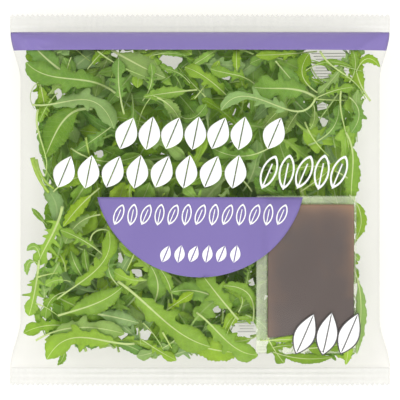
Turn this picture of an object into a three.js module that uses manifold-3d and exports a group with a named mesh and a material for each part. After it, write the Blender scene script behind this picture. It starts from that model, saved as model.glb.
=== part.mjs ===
// A sealed pillow bag of clear film, lying on its back. It is filled with loose rocket leaves, and
// a flat sachet of dressing lies on them at the lower right. The film closes the whole bag, so the
// solid is the bag's outside: the pillow body, the two crimped end seals with their toothed cut,
// and the low relief of the sachet and the largest leaves where they press the film up.
// Millimetres. X runs across the bag, Y up the front towards the top seal, Z out of the front.
// The origin is the middle of the ground under the bag.
import * as THREE from "three";
import { mergeGeometries, mergeVertices } from "three/addons/utils/BufferGeometryUtils.js";
import Module from "manifold-3d";

// Driving dimensions of the bag
const SEAL_WIDTH = 210; // the flat width of the film tube, seen at both seals
const BAG_LENGTH = 205.6; // over the tips of the teeth
const SEAL_DEPTH = 10; // each crimped seal, teeth included
const BAG_HEIGHT = 42; // the thickest place, before the sachet and leaves press it up
const SIDE_PINCH = 5.6; // how far each side draws in where the tube is round
const PINCH_RUN = 27; // the length over which it draws in, from each seal
const SEAL_HEIGHT = 14; // the seals hover at this height when the bag lies down
const RIM = 0.35; // half the film edge's thickness round the body
const BELLY = 21; // how far the back would bulge below the seals if the ground let it

// How full the bag is across and along: 0 at the rim and 1 in the middle
const ACROSS_POWER = 2.5;
const ALONG_POWER = 2.7;
const ROUNDNESS = 0.5;

// Crimped seals
const SEAL_SHEET = 0.7; // the two films and their corrugation, as one sheet
const SEAL_OVERLAP = 0.8; // how far each seal runs into the body
const RIB_COUNT = 3;
const RIB_RISE = 0.35;
const RIB_STEPS = 4; // faces in one rib
const TOOTH_COUNT = 76;
const TOOTH_DEPTH = 1.2;

// Pleats that run from each seal into the body
const PLEAT_RISE = 0.55;
const PLEAT_PITCH = 19;
const PLEAT_RUN = 13;

// The sachet of dressing under the front film
const SACHET_CENTRE = [61.5, -41.3];
const SACHET_SIZE = [61, 87];
const SACHET_POUCH = [48, 75]; // the filled part, inside the sealed border
const SACHET_RISE = 0.9;
const POUCH_RISE = 2.2;
const SACHET_EDGE = 5; // the width over which the film slopes down round it

// The largest leaves under the front film: base of the stalk, bend and tip of the midrib, as
// [x, y], and half the width of the blade
const LEAVES = [
  { base: [-47, 58.7], bend: [-70, 67], tip: [-97, 75], half: 8 },
  { base: [-61.7, 50.8], bend: [-78, 42], tip: [-87, 25.5], half: 8 },
  { base: [-93.5, 53.5], bend: [-64, 58], tip: [-46.5, 40.3], half: 7 },
  { base: [-44.7, 75.7], bend: [-44.7, 60], tip: [-41.9, 48.6], half: 7 },
  { base: [-57, 82], bend: [-45, 76], tip: [-28, 69], half: 6 },
  { base: [10, 72.5], bend: [50, 61], tip: [64.4, 56.9], half: 7 },
  { base: [71.5, 25.3], bend: [62, 33], tip: [59.4, 42], half: 6 },
  { base: [68, 80.7], bend: [78, 70], tip: [88.7, 58], half: 5 },
  { base: [13.6, 49.7], bend: [34, 54], tip: [50, 47], half: 6 },
  { base: [-66, -47], bend: [-47, -40], tip: [-49.6, -22], half: 8 },
  { base: [-77.3, -63.8], bend: [-62, -59], tip: [-44, -48.8], half: 8 },
  { base: [-44.7, -45.5], bend: [-20, -65], tip: [8, -84], half: 9 },
  { base: [-90.6, -77.6], bend: [-70, -68], tip: [-41.3, -72], half: 7 },
  { base: [-92, -30], bend: [-86, -50], tip: [-90, -66], half: 5 },
  { base: [19.5, -65.4], bend: [10, -52], tip: [2.4, -42.7], half: 8 },
  { base: [0.2, -62.6], bend: [12, -73], tip: [27, -87], half: 7 },
];
const LEAF_RISE = 1.7;
const RELIEF_FADE = 9; // the relief dies away over this distance from the seals and sides

// The loose heap as a whole lies unevenly: crossing waves of the film, as [length across, length
// along, phase, rise]
const HEAP_WAVES = [
  [61, 83, 0.4, 0.55],
  [-47, 59, 2.1, 0.45],
  [33, -71, 4.0, 0.35],
];

// The mesh of the body: the front is fine enough for the relief, the back is plain
const FRONT_COLUMNS = 60;
const FRONT_ROWS = 54;
const BACK_COLUMNS = 20;
const BACK_ROWS = 18;
const EDGE_CROWDING = 0.25; // columns stand closer together towards the sides
const CURVE_STEPS = 12; // points tried along a midrib when a distance to it is measured
const STALK_SHARE = 0.25; // a leaf's width at its stalk and tip, against its widest place
const MERGE_DISTANCE = 1e-3;

const bodyHalf = BAG_LENGTH / 2 - SEAL_DEPTH;
const clamp01 = (t) => Math.min(1, Math.max(0, t));
const smooth = (t) => clamp01(t) ** 2 * (3 - 2 * clamp01(t));

// Half the bag's width at a height y on the front: full at the seals, drawn in between them.
function halfWidth(y) {
  return SEAL_WIDTH / 2 - SIDE_PINCH * smooth((bodyHalf - Math.abs(y)) / PINCH_RUN);
}

// How full the bag is at a place, from 0 at the rim to 1 in the middle. across runs from -1 to 1.
function fullness(across, y) {
  const side = Math.max(0, 1 - Math.abs(across) ** ACROSS_POWER);
  const end = Math.max(0, 1 - Math.abs(y / bodyHalf) ** ALONG_POWER);
  return (side * end) ** ROUNDNESS;
}

// A step that is 1 inside a rectangle about a centre and falls to 0 over an edge outside it.
function plateau(x, y, [cx, cy], [width, length], edge) {
  const outX = Math.abs(x - cx) - width / 2;
  const outY = Math.abs(y - cy) - length / 2;
  return smooth(1 - outX / edge) * smooth(1 - outY / edge);
}

// Points along a leaf's midrib, each with the half width of the blade there: narrow at the stalk,
// widest past the middle, and narrow again at the tip.
function midrib({ base, bend, tip, half }) {
  const ends = [base, bend, tip].map((point) => new THREE.Vector2(...point));
  const points = new THREE.QuadraticBezierCurve(...ends).getPoints(CURVE_STEPS);
  return points.map((point, i) => ({
    point,
    blade: half * (STALK_SHARE + (1 - STALK_SHARE) * Math.sin(Math.PI * (i / CURVE_STEPS) ** 1.3)),
  }));
}

const midribs = LEAVES.map(midrib);

// How far one leaf lifts the film: a rounded back along the midrib, falling to its margin.
function leafLift(x, y, ribPoints) {
  const away = ({ point, blade }) => Math.hypot(x - point.x, y - point.y) / blade;
  return smooth(1 - Math.min(...ribPoints.map(away)));
}

// The height of the crossing waves of the loose heap.
function heapWaves(x, y) {
  const wave = ([across, along, phase, rise]) => {
    const angle = 2 * Math.PI * (x / across + y / along) + phase;
    return rise * Math.sin(angle);
  };
  return HEAP_WAVES.map(wave).reduce((sum, height) => sum + height);
}

// Everything that stands out of the front film: leaves, sachet, waves and the pleats at the seals.
function relief(x, y) {
  const fromSeal = bodyHalf - Math.abs(y);
  const fromSide = halfWidth(y) - Math.abs(x);
  const fade = smooth(fromSeal / RELIEF_FADE) * smooth(fromSide / RELIEF_FADE);
  const sachet = plateau(x, y, SACHET_CENTRE, SACHET_SIZE, SACHET_EDGE) * SACHET_RISE;
  const pouch = plateau(x, y, SACHET_CENTRE, SACHET_POUCH, SACHET_EDGE) * POUCH_RISE;
  const leaf = Math.max(...midribs.map((ribPoints) => leafLift(x, y, ribPoints))) * LEAF_RISE;
  const pleat = PLEAT_RISE * Math.cos((2 * Math.PI * x) / PLEAT_PITCH) * Math.exp(-fromSeal / PLEAT_RUN);
  return fade * (Math.max(leaf, sachet + pouch) + heapWaves(x, y) + pleat);
}

// The front film over the filling.
function frontHeight({ across, x, y }) {
  const crown = (BAG_HEIGHT - SEAL_HEIGHT - RIM) * fullness(across, y);
  return SEAL_HEIGHT + RIM + crown + relief(x, y);
}

// The back sags to the ground, which flattens it.
function backHeight({ across, y }) {
  return Math.max(0, SEAL_HEIGHT - RIM - BELLY * fullness(across, y));
}

// A sheet of the film: a plane of the body's size, its columns crowded to the sides, set to the
// bag's outline and lifted to a height. s and t run from -1 to 1.
function filmSheet(columns, rows, height) {
  const sheet = new THREE.PlaneGeometry(2, 2, columns, rows);
  const place = sheet.getAttribute("position");
  for (let i = 0; i < place.count; i++) {
    const s = place.getX(i);
    const y = place.getY(i) * bodyHalf;
    const across = s + (EDGE_CROWDING * Math.sin(Math.PI * s)) / Math.PI;
    const x = across * halfWidth(y);
    place.setXYZ(i, x, y, height({ across, x, y }));
  }
  return sheet;
}

// The indices of a sheet's rim vertices, anticlockwise seen from the front.
function rim(columns, rows) {
  const at = (column, row) => row * (columns + 1) + column;
  const range = (count) => Array.from({ length: count }, (_, i) => i);
  return [
    range(columns).map((i) => at(i, rows)),
    range(rows).map((i) => at(columns, rows - i)),
    range(columns).map((i) => at(columns - i, 0)),
    range(rows).map((i) => at(0, i)),
  ];
}

// The narrow wall between the rims of the two sheets. The front's rim has several edges to each
// of the back's, so each back edge takes a fan of them.
function rimWall(front, frontRims, back, backRims) {
  const corners = [];
  const push = (sheet, index) => {
    const place = sheet.getAttribute("position");
    corners.push(place.getX(index), place.getY(index), place.getZ(index));
  };
  const frontRim = frontRims.flat();
  const backRim = backRims.flat();
  let f = 0;
  let b = 0;
  backRims.forEach((side, k) => {
    const fan = frontRims[k].length / side.length;
    side.forEach(() => {
      for (let i = 0; i < fan; i++, f++) {
        push(back, backRim[b]);
        push(front, frontRim[(f + 1) % frontRim.length]);
        push(front, frontRim[f]);
      }
      push(back, backRim[b]);
      push(back, backRim[(b + 1) % backRim.length]);
      push(front, frontRim[f % frontRim.length]);
      b++;
    });
  });
  const wall = new THREE.BufferGeometry();
  wall.setAttribute("position", new THREE.Float32BufferAttribute(corners, 3));
  return wall;
}

// A geometry as single triangles with a place only, and turned inside out where asked.
function bare(geometry, turned = false) {
  const loose = geometry.index ? geometry.toNonIndexed() : geometry;
  loose.deleteAttribute("normal");
  loose.deleteAttribute("uv");
  if (turned) {
    const place = loose.getAttribute("position").array;
    // Each triangle's second and third corner, at 3 and 6 of its 9 numbers, change places.
    for (let i = 0; i < place.length; i += 9)
      for (let k = 3; k < 6; k++) [place[i + k], place[i + k + 3]] = [place[i + k + 3], place[i + k]];
  }
  return loose;
}

// The pillow body as one closed geometry.
function pillow() {
  const front = filmSheet(FRONT_COLUMNS, FRONT_ROWS, frontHeight);
  const back = filmSheet(BACK_COLUMNS, BACK_ROWS, backHeight);
  const wall = rimWall(front, rim(FRONT_COLUMNS, FRONT_ROWS), back, rim(BACK_COLUMNS, BACK_ROWS));
  return mergeGeometries([bare(front), bare(back, true), bare(wall)]);
}

// One seal's corrugated sheet, seen along X, extruded across the bag. y grows away from the body.
function sealSheet() {
  const steps = RIB_COUNT * RIB_STEPS;
  const length = SEAL_DEPTH + SEAL_OVERLAP;
  const along = (i) => bodyHalf - SEAL_OVERLAP + (length * i) / steps;
  const middle = (i) => SEAL_HEIGHT + RIB_RISE * Math.sin((2 * Math.PI * i) / RIB_STEPS);
  const outline = [];
  for (let i = 0; i <= steps; i++) outline.push(new THREE.Vector2(along(i), middle(i) - SEAL_SHEET / 2));
  for (let i = steps; i >= 0; i--) outline.push(new THREE.Vector2(along(i), middle(i) + SEAL_SHEET / 2));
  const extrusion = { depth: SEAL_WIDTH, bevelEnabled: false };
  const sheet = new THREE.ExtrudeGeometry(new THREE.Shape(outline), extrusion);
  // The outline's own x and y become the bag's Y and Z, and the extrusion runs along X.
  sheet.applyMatrix4(
    new THREE.Matrix4().set(0, 0, 1, -SEAL_WIDTH / 2, 1, 0, 0, 0, 0, 1, 0, 0, 0, 0, 0, 1),
  );
  return sheet;
}

// A block over one seal whose outer side is cut to teeth, as the bag maker's knife leaves it.
function toothedBlock() {
  const inner = bodyHalf - 2 * SEAL_OVERLAP;
  const outer = BAG_LENGTH / 2;
  const pitch = SEAL_WIDTH / TOOTH_COUNT;
  const outline = [new THREE.Vector2(-SEAL_WIDTH / 2, inner), new THREE.Vector2(SEAL_WIDTH / 2, inner)];
  for (let i = TOOTH_COUNT; i > 0; i--) {
    const right = -SEAL_WIDTH / 2 + i * pitch;
    outline.push(new THREE.Vector2(right, outer - TOOTH_DEPTH));
    outline.push(new THREE.Vector2(right - pitch / 2, outer));
  }
  outline.push(new THREE.Vector2(-SEAL_WIDTH / 2, outer - TOOTH_DEPTH));
  const extrusion = { depth: 2 * SEAL_HEIGHT, bevelEnabled: false };
  return new THREE.ExtrudeGeometry(new THREE.Shape(outline), extrusion);
}

const wasm = await Module();
wasm.setup();

// A closed geometry as a solid that can be joined and cut.
function solid(geometry) {
  const merged = mergeVertices(bare(geometry), MERGE_DISTANCE);
  return new wasm.Manifold(
    new wasm.Mesh({
      numProp: 3,
      vertProperties: merged.getAttribute("position").array,
      triVerts: new Uint32Array(merged.index.array),
    }),
  );
}

// The geometry of a finished solid.
function geometryOf(finished) {
  const { vertProperties, triVerts } = finished.getMesh();
  const geometry = new THREE.BufferGeometry();
  geometry.setAttribute("position", new THREE.BufferAttribute(vertProperties, 3));
  geometry.setIndex(new THREE.BufferAttribute(triVerts, 1));
  geometry.computeVertexNormals();
  return geometry;
}

function bag() {
  const topSeal = solid(sealSheet()).intersect(solid(toothedBlock()));
  const bottomSeal = solid(geometryOf(topSeal).rotateZ(Math.PI));
  return geometryOf(solid(pillow()).add(topSeal).add(bottomSeal));
}

// Glossy clear film over mid-green leaves.
const material = new THREE.MeshStandardMaterial({ color: "#749343", roughness: 0.25, metalness: 0 });
const saladBag = new THREE.Mesh(bag(), material);
saladBag.name = "salad_bag";

const group = new THREE.Group();
group.add(saladBag);

export default group;
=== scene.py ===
"""A sealed pillow bag of clear film, full of loose rocket leaves, with a sachet of brown dressing.

The bag lies on its back with the printed front up. The film, the leaves, the sachet and the print
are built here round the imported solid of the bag, in its own frame. Lengths are in millimetres until
a mesh is written, which is where they become metres.
"""

import logging
import math
from dataclasses import dataclass, field
from enum import Enum

import bpy
import numpy as np
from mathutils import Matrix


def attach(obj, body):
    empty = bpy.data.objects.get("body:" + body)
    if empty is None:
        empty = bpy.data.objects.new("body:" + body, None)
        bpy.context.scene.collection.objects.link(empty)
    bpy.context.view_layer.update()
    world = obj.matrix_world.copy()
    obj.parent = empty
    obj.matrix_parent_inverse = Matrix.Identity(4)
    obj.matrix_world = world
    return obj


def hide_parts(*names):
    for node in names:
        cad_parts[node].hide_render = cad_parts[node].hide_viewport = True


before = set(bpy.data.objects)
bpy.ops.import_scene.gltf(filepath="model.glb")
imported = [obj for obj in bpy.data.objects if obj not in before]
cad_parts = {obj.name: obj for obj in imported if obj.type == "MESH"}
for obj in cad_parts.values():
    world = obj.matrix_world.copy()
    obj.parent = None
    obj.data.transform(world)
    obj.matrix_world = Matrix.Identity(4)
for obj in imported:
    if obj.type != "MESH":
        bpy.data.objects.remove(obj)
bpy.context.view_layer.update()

MM = 0.001
BAG_NODE = "salad_bag"
BODY = "root"
LEAF_MAP = "leaf_map"
PHOTO_WIDTH = 400  # the photograph's frame in pixels
MM_PER_PIXEL = 210 / 379.5  # from the flat width of the seals

log = logging.getLogger("salad bag")

Points = np.ndarray
Place = tuple[float, float]


def linear(colour: str) -> tuple[float, float, float, float]:
    """Turn an sRGB hex colour to linear light.

    Args:
        colour: the colour as "#rrggbb".

    Returns:
        Red, green, blue and an alpha of 1, linear.
    """
    parts = [int(colour[i:i + 2], 16) / 255 for i in (1, 3, 5)]
    light = [c / 12.92 if c <= 0.04045 else ((c + 0.055) / 1.055) ** 2.4 for c in parts]
    return (*light, 1.0)


def add_node(
    tree: bpy.types.NodeTree, kind: str, links: dict | None = None, **settings: object
) -> bpy.types.Node:
    """Add a node, set it up and link its inputs.

    Args:
        tree: the node tree that takes it.
        kind: the node's type name.
        links: for each input, by name or number, the socket that feeds it, or a node for its first one.
        settings: values by name: an input's value where there is such an input, else a property.

    Returns:
        The new node.
    """
    node = tree.nodes.new(kind)
    for name, value in settings.items():
        if hasattr(node, name):
            setattr(node, name, value)
        else:
            node.inputs[int(name[1:]) if name[1:].isdigit() else name.replace("_", " ")].default_value = value
    for name, source in (links or {}).items():
        tree.links.new(getattr(source, "outputs", [source])[0], node.inputs[name])
    return node


def new_material(name: str) -> tuple[bpy.types.Material, bpy.types.NodeTree, bpy.types.NodeSocket]:
    """Start a material with an empty tree.

    Args:
        name: what the material is.

    Returns:
        The material, its node tree and the piece's own coordinates.
    """
    material = bpy.data.materials.new(name)
    material.use_nodes = True
    material.node_tree.nodes.clear()
    place = add_node(material.node_tree, "ShaderNodeTexCoord").outputs["Object"]
    return material, material.node_tree, place


def show(material: bpy.types.Material, shader: bpy.types.Node) -> bpy.types.Material:
    """Make a shader the surface of its material and give the material back."""
    add_node(material.node_tree, "ShaderNodeOutputMaterial", {"Surface": shader})
    return material


def smooth(t: Points) -> Points:
    """A soft step from 0 to 1 as t goes from 0 to 1."""
    held = np.clip(t, 0, 1)
    return held * held * (3 - 2 * held)


# Mesh making


def deselect() -> None:
    """Leave nothing selected."""
    bpy.ops.object.select_all(action="DESELECT")


def select(*pieces: bpy.types.Object) -> None:
    """Select pieces alone.

    Args:
        pieces: what is selected; the first one becomes active.
    """
    deselect()
    for piece in pieces:
        piece.select_set(True)
    bpy.context.view_layer.objects.active = pieces[0]


def add_grid(name: str, columns: int, rows: int) -> bpy.types.Object:
    """Add a flat grid that runs from -1 to 1 both ways, one row of vertices after the other.

    Args:
        name: the piece's name.
        columns: faces along X.
        rows: faces along Y.

    Returns:
        The new object.
    """
    deselect()
    bpy.ops.mesh.primitive_grid_add(x_subdivisions=columns, y_subdivisions=rows, size=2)
    piece = bpy.context.object
    piece.name = name
    piece.data.name = name
    return piece


def read_points(piece: bpy.types.Object) -> Points:
    """Read a mesh's vertices.

    Args:
        piece: the piece.

    Returns:
        Their places as stored, one row each.
    """
    flat = np.empty(len(piece.data.vertices) * 3, np.float32)
    piece.data.vertices.foreach_get("co", flat)
    return flat.reshape(-1, 3).astype(float)


def write_points(piece: bpy.types.Object, x: Points, y: Points, z: Points) -> None:
    """Move a mesh's vertices.

    Args:
        piece: the piece.
        x: their places across the bag, in millimetres.
        y: their places along it.
        z: their heights over the ground.
    """
    places = np.stack([x, y, z], axis=1) * MM
    piece.data.vertices.foreach_set("co", places.astype(np.float32).ravel())
    piece.data.update()


def add_values(piece: bpy.types.Object, name: str, values: Points) -> None:
    """Give each vertex a value that the piece's finish reads by name."""
    attribute = piece.data.attributes.new(name, "FLOAT", "POINT")
    attribute.data.foreach_set("value", values.astype(np.float32))


def on_rim(s: Points, t: Points) -> Points:
    """Which places of a grid that runs from -1 to 1 lie on its rim."""
    return np.maximum(np.abs(s), np.abs(t)) > 0.9999


def apply_modifier(piece: bpy.types.Object, kind: str, **settings: object) -> None:
    """Give a piece a modifier and apply it.

    Args:
        piece: the piece to finish.
        kind: the modifier's type.
        settings: the modifier's properties.
    """
    select(piece)
    modifier = piece.modifiers.new(kind.lower(), kind)
    for name, value in settings.items():
        setattr(modifier, name, value)
    bpy.ops.object.modifier_apply(modifier=modifier.name)


def join(pieces: list[bpy.types.Object], name: str) -> bpy.types.Object:
    """Join pieces into one.

    Args:
        pieces: what is joined.
        name: the joined piece's name.

    Returns:
        The one piece.
    """
    select(*pieces)
    if len(pieces) > 1:
        bpy.ops.object.join()
    joined = bpy.context.object
    joined.name = name
    joined.data.name = name
    return joined


def close_shell(front: bpy.types.Object, back: bpy.types.Object, name: str) -> bpy.types.Object:
    """Close two sheets that meet along their rims into one shell with its faces outwards.

    Args:
        front: the upper sheet.
        back: the lower sheet, whose rim lies on the upper one's.
        name: the shell's name.

    Returns:
        The closed shell.
    """
    shell = join([front, back], name)
    bpy.ops.object.mode_set(mode="EDIT")
    bpy.ops.mesh.select_all(action="SELECT")
    bpy.ops.mesh.remove_doubles(threshold=0.002 * MM)
    bpy.ops.mesh.normals_make_consistent(inside=False)
    bpy.ops.object.mode_set(mode="OBJECT")
    return shell


def finish(piece: bpy.types.Object, material: bpy.types.Material) -> None:
    """Dress a piece, make it ride on the bag and report it.

    Args:
        piece: the finished mesh.
        material: its finish.
    """
    piece.data.materials.clear()
    piece.data.materials.append(material)
    select(piece)
    bpy.ops.object.shade_smooth()
    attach(piece, BODY)
    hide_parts(BAG_NODE)
    log.info("%s: %d faces", piece.name, len(piece.data.polygons))


# The bag's form


@dataclass(frozen=True)
class RaisedLeaf:
    """A large leaf that presses the front film up.

    The three places are its stalk, its bend and its tip, and half is half its width.
    """

    base: Place
    bend: Place
    tip: Place
    half: float


RAISED_LEAVES = (
    RaisedLeaf((-47, 58.7), (-70, 67), (-97, 75), 8),
    RaisedLeaf((-61.7, 50.8), (-78, 42), (-87, 25.5), 8),
    RaisedLeaf((-93.5, 53.5), (-64, 58), (-46.5, 40.3), 7),
    RaisedLeaf((-44.7, 75.7), (-44.7, 60), (-41.9, 48.6), 7),
    RaisedLeaf((-57, 82), (-45, 76), (-28, 69), 6),
    RaisedLeaf((10, 72.5), (50, 61), (64.4, 56.9), 7),
    RaisedLeaf((71.5, 25.3), (62, 33), (59.4, 42), 6),
    RaisedLeaf((68, 80.7), (78, 70), (88.7, 58), 5),
    RaisedLeaf((13.6, 49.7), (34, 54), (50, 47), 6),
    RaisedLeaf((-66, -47), (-47, -40), (-49.6, -22), 8),
    RaisedLeaf((-77.3, -63.8), (-62, -59), (-44, -48.8), 8),
    RaisedLeaf((-44.7, -45.5), (-20, -65), (8, -84), 9),
    RaisedLeaf((-90.6, -77.6), (-70, -68), (-41.3, -72), 7),
    RaisedLeaf((-92, -30), (-86, -50), (-90, -66), 5),
    RaisedLeaf((19.5, -65.4), (10, -52), (2.4, -42.7), 8),
    RaisedLeaf((0.2, -62.6), (12, -73), (27, -87), 7),
)

# The loose heap lies unevenly: length across, length along, phase and rise of each wave
HEAP_WAVES = ((61, 83, 0.4, 0.55), (-47, 59, 2.1, 0.45), (33, -71, 4.0, 0.35))


@dataclass(frozen=True)
class BagForm:
    """The outside of the bag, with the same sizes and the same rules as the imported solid."""

    seal_width: float = 210.0
    bag_length: float = 205.6
    seal_depth: float = 10.0
    bag_height: float = 42.0
    side_pinch: float = 5.6
    pinch_run: float = 27.0
    seal_height: float = 14.0
    belly: float = 21.0
    across_power: float = 2.5
    along_power: float = 2.7
    roundness: float = 0.5
    pleat_rise: float = 0.55
    pleat_pitch: float = 19.0
    pleat_run: float = 13.0
    sachet_centre: Place = (61.5, -41.3)
    sachet_size: Place = (61.0, 87.0)
    sachet_pouch: Place = (48.0, 75.0)
    sachet_rise: float = 0.9
    pouch_rise: float = 2.2
    sachet_edge: float = 5.0
    leaf_rise: float = 1.7
    relief_fade: float = 9.0
    stalk_share: float = 0.25
    curve_steps: int = 12

    @property
    def body_half(self) -> float:
        """Half the length of the body between the two seals."""
        return self.bag_length / 2 - self.seal_depth

    def half_width(self, y: Points) -> Points:
        """Half the bag's width at a height y on the front."""
        return self.seal_width / 2 - self.side_pinch * smooth((self.body_half - np.abs(y)) / self.pinch_run)

    def fullness(self, x: Points, y: Points) -> Points:
        """Find how full the bag is.

        Args:
            x: places across the bag.
            y: places along it.

        Returns:
            A share from 0 at the rim to 1 in the middle.
        """
        side = np.clip(1 - np.abs(x / self.half_width(y)) ** self.across_power, 0, 1)
        end = np.clip(1 - np.abs(y / self.body_half) ** self.along_power, 0, 1)
        return (side * end) ** self.roundness

    def edge_fade(self, x: Points, y: Points, run: float) -> Points:
        """Let the relief die away towards the seals and the sides.

        Args:
            x: places across the bag.
            y: places along it.
            run: the distance over which it dies away.

        Returns:
            A factor that is 1 in the body and 0 at its rim.
        """
        from_seal = self.body_half - np.abs(y)
        from_side = self.half_width(y) - np.abs(x)
        return smooth(from_seal / run) * smooth(from_side / run)

    def plateau(self, x: Points, y: Points, size: Place, edge: float) -> Points:
        """Raise a rectangle about the sachet's centre.

        Args:
            x: places across the bag.
            y: places along it.
            size: the rectangle's width and length.
            edge: the width of the slope round it.

        Returns:
            A factor that is 1 on the rectangle and 0 past its slope.
        """
        out_x = np.abs(x - self.sachet_centre[0]) - size[0] / 2
        out_y = np.abs(y - self.sachet_centre[1]) - size[1] / 2
        return smooth(1 - out_x / edge) * smooth(1 - out_y / edge)

    def leaf_lift(self, x: Points, y: Points) -> Points:
        """Find how far the raised leaves lift the film.

        Args:
            x: places across the bag.
            y: places along it.

        Returns:
            A share of the highest lift.
        """
        lift = np.zeros_like(x)
        s = np.linspace(0, 1, self.curve_steps + 1)[:, None]
        for leaf in RAISED_LEAVES:
            base, bend, tip = (np.array(point) for point in (leaf.base, leaf.bend, leaf.tip))
            rib = base * (1 - s) ** 2 + bend * 2 * s * (1 - s) + tip * s * s
            blade = leaf.half * (self.stalk_share + (1 - self.stalk_share) * np.sin(math.pi * s[:, 0] ** 1.3))
            for place, half in zip(rib, blade):
                lift = np.maximum(lift, smooth(1 - np.hypot(x - place[0], y - place[1]) / half))
        return lift

    def relief(self, x: Points, y: Points) -> Points:
        """Add up all that stands out of the front film: sachet, leaves, waves and pleats.

        Args:
            x: places across the bag.
            y: places along it.

        Returns:
            Its height.
        """
        sachet = self.plateau(x, y, self.sachet_size, self.sachet_edge) * self.sachet_rise
        pouch = self.plateau(x, y, self.sachet_pouch, self.sachet_edge) * self.pouch_rise
        leaf = self.leaf_lift(x, y) * self.leaf_rise
        waves = sum(rise * np.sin(2 * math.pi * (x / a + y / b) + phase) for a, b, phase, rise in HEAP_WAVES)
        from_seal = self.body_half - np.abs(y)
        pleat = self.pleat_rise * np.cos(2 * math.pi * x / self.pleat_pitch)
        pleat *= np.exp(-from_seal / self.pleat_run)
        return self.edge_fade(x, y, self.relief_fade) * (np.maximum(leaf, sachet + pouch) + waves + pleat)

    def front(self, x: Points, y: Points) -> Points:
        """The height of the front film."""
        crown = (self.bag_height - self.seal_height) * self.fullness(x, y)
        return self.seal_height + crown + self.relief(x, y)

    def back(self, x: Points, y: Points) -> Points:
        """The height of the back film, flat where it lies on the ground."""
        return np.maximum(0, self.seal_height - self.belly * self.fullness(x, y))


@dataclass
class Creases:
    """Fine folds of the film: pleats from the seals and folds that fan out of the corners."""

    form: BagForm
    seed: int = 5
    pleats_at_each_seal: int = 30
    pleat_length: Place = (8, 26)
    pleat_width: Place = (0.9, 2.2)
    pleat_rise: float = 0.3
    folds_at_each_corner: int = 5
    fold_length: Place = (18, 42)
    fold_width: Place = (1.0, 2.0)
    fold_rise: float = 0.42
    corner_inset: float = 4.0
    edge_run: float = 5.0
    lines: list[tuple[float, ...]] = field(default_factory=list)

    def __post_init__(self) -> None:
        """Draw the creases' places at random, always the same ones."""
        draw = np.random.default_rng(self.seed)
        half, end = self.form.seal_width / 2, self.form.body_half
        for side in (1, -1):
            for _ in range(self.pleats_at_each_seal):
                x = draw.uniform(-half + 8, half - 8)
                # A pleat runs away from the seal and leans towards the bag's middle.
                turn = -side * math.pi / 2 + draw.normal(0, 0.12) - side * 0.25 * x / half
                size = draw.uniform(*self.pleat_length), draw.uniform(*self.pleat_width)
                self.lines.append((x, side * end, turn, *size, draw.normal(0, self.pleat_rise)))
            for corner in (1, -1):
                for _ in range(self.folds_at_each_corner):
                    x = corner * (half - self.corner_inset)
                    inward = math.atan2(-side, -corner) + draw.normal(0, 0.22)
                    size = draw.uniform(*self.fold_length), draw.uniform(*self.fold_width)
                    self.lines.append((x, side * end, inward, *size, draw.normal(0, self.fold_rise)))

    def height(self, x: Points, y: Points) -> Points:
        """Add the folds up.

        Args:
            x: places across the bag.
            y: places along it.

        Returns:
            Their height at each place.
        """
        total = np.zeros_like(x)
        for start_x, start_y, turn, length, width, rise in self.lines:
            along = (x - start_x) * math.cos(turn) + (y - start_y) * math.sin(turn)
            across = (y - start_y) * math.cos(turn) - (x - start_x) * math.sin(turn)
            reach = smooth(along / (0.25 * length)) * smooth((length - along) / (0.6 * length))
            total += rise * reach * np.exp(-(across / width) ** 2)
        return total * self.form.edge_fade(x, y, self.edge_run)


class SampledHeight:
    """A height rule read from a fine table, so that thousands of places cost little."""

    def __init__(self, rule: object, half: float = 108.0, step: float = 0.75) -> None:
        """Fill the table.

        Args:
            rule: a function of x and y that gives heights.
            half: half the table's side.
            step: the spacing of its places.
        """
        self.half, self.step = half, step
        self.count = int(round(2 * half / step)) + 1
        axis = np.linspace(-half, half, self.count)
        x, y = np.meshgrid(axis, axis)
        self.table = rule(x.ravel(), y.ravel()).reshape(x.shape)

    def __call__(self, x: Points, y: Points) -> Points:
        """Read the table.

        Args:
            x: places across the bag.
            y: places along it.

        Returns:
            The height at each place, linear between the table's own.
        """
        fx = np.clip((x + self.half) / self.step, 0, self.count - 1.001)
        fy = np.clip((y + self.half) / self.step, 0, self.count - 1.001)
        ix, iy = fx.astype(int), fy.astype(int)
        px, py = fx - ix, fy - iy
        low = self.table[iy, ix] * (1 - px) + self.table[iy, ix + 1] * px
        high = self.table[iy + 1, ix] * (1 - px) + self.table[iy + 1, ix + 1] * px
        return low * (1 - py) + high * py


# Finishes


def cloud(
    tree: bpy.types.NodeTree, place: bpy.types.NodeSocket, size_mm: float, spread: Place, detail: float = 3.0,
) -> bpy.types.Node:
    """Add a soft random pattern of a real size, spread over a range.

    Args:
        tree: the node tree that takes it.
        place: the coordinates that it reads.
        size_mm: the size of its patches.
        spread: its least and its greatest value.
        detail: how many finer patterns ride on it.

    Returns:
        The node that gives its value.
    """
    noise = add_node(tree, "ShaderNodeTexNoise", {"Vector": place}, Scale=1 / (size_mm * MM), Detail=detail)
    return add_node(tree, "ShaderNodeMapRange", {"Value": noise}, To_Min=spread[0], To_Max=spread[1])


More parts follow.
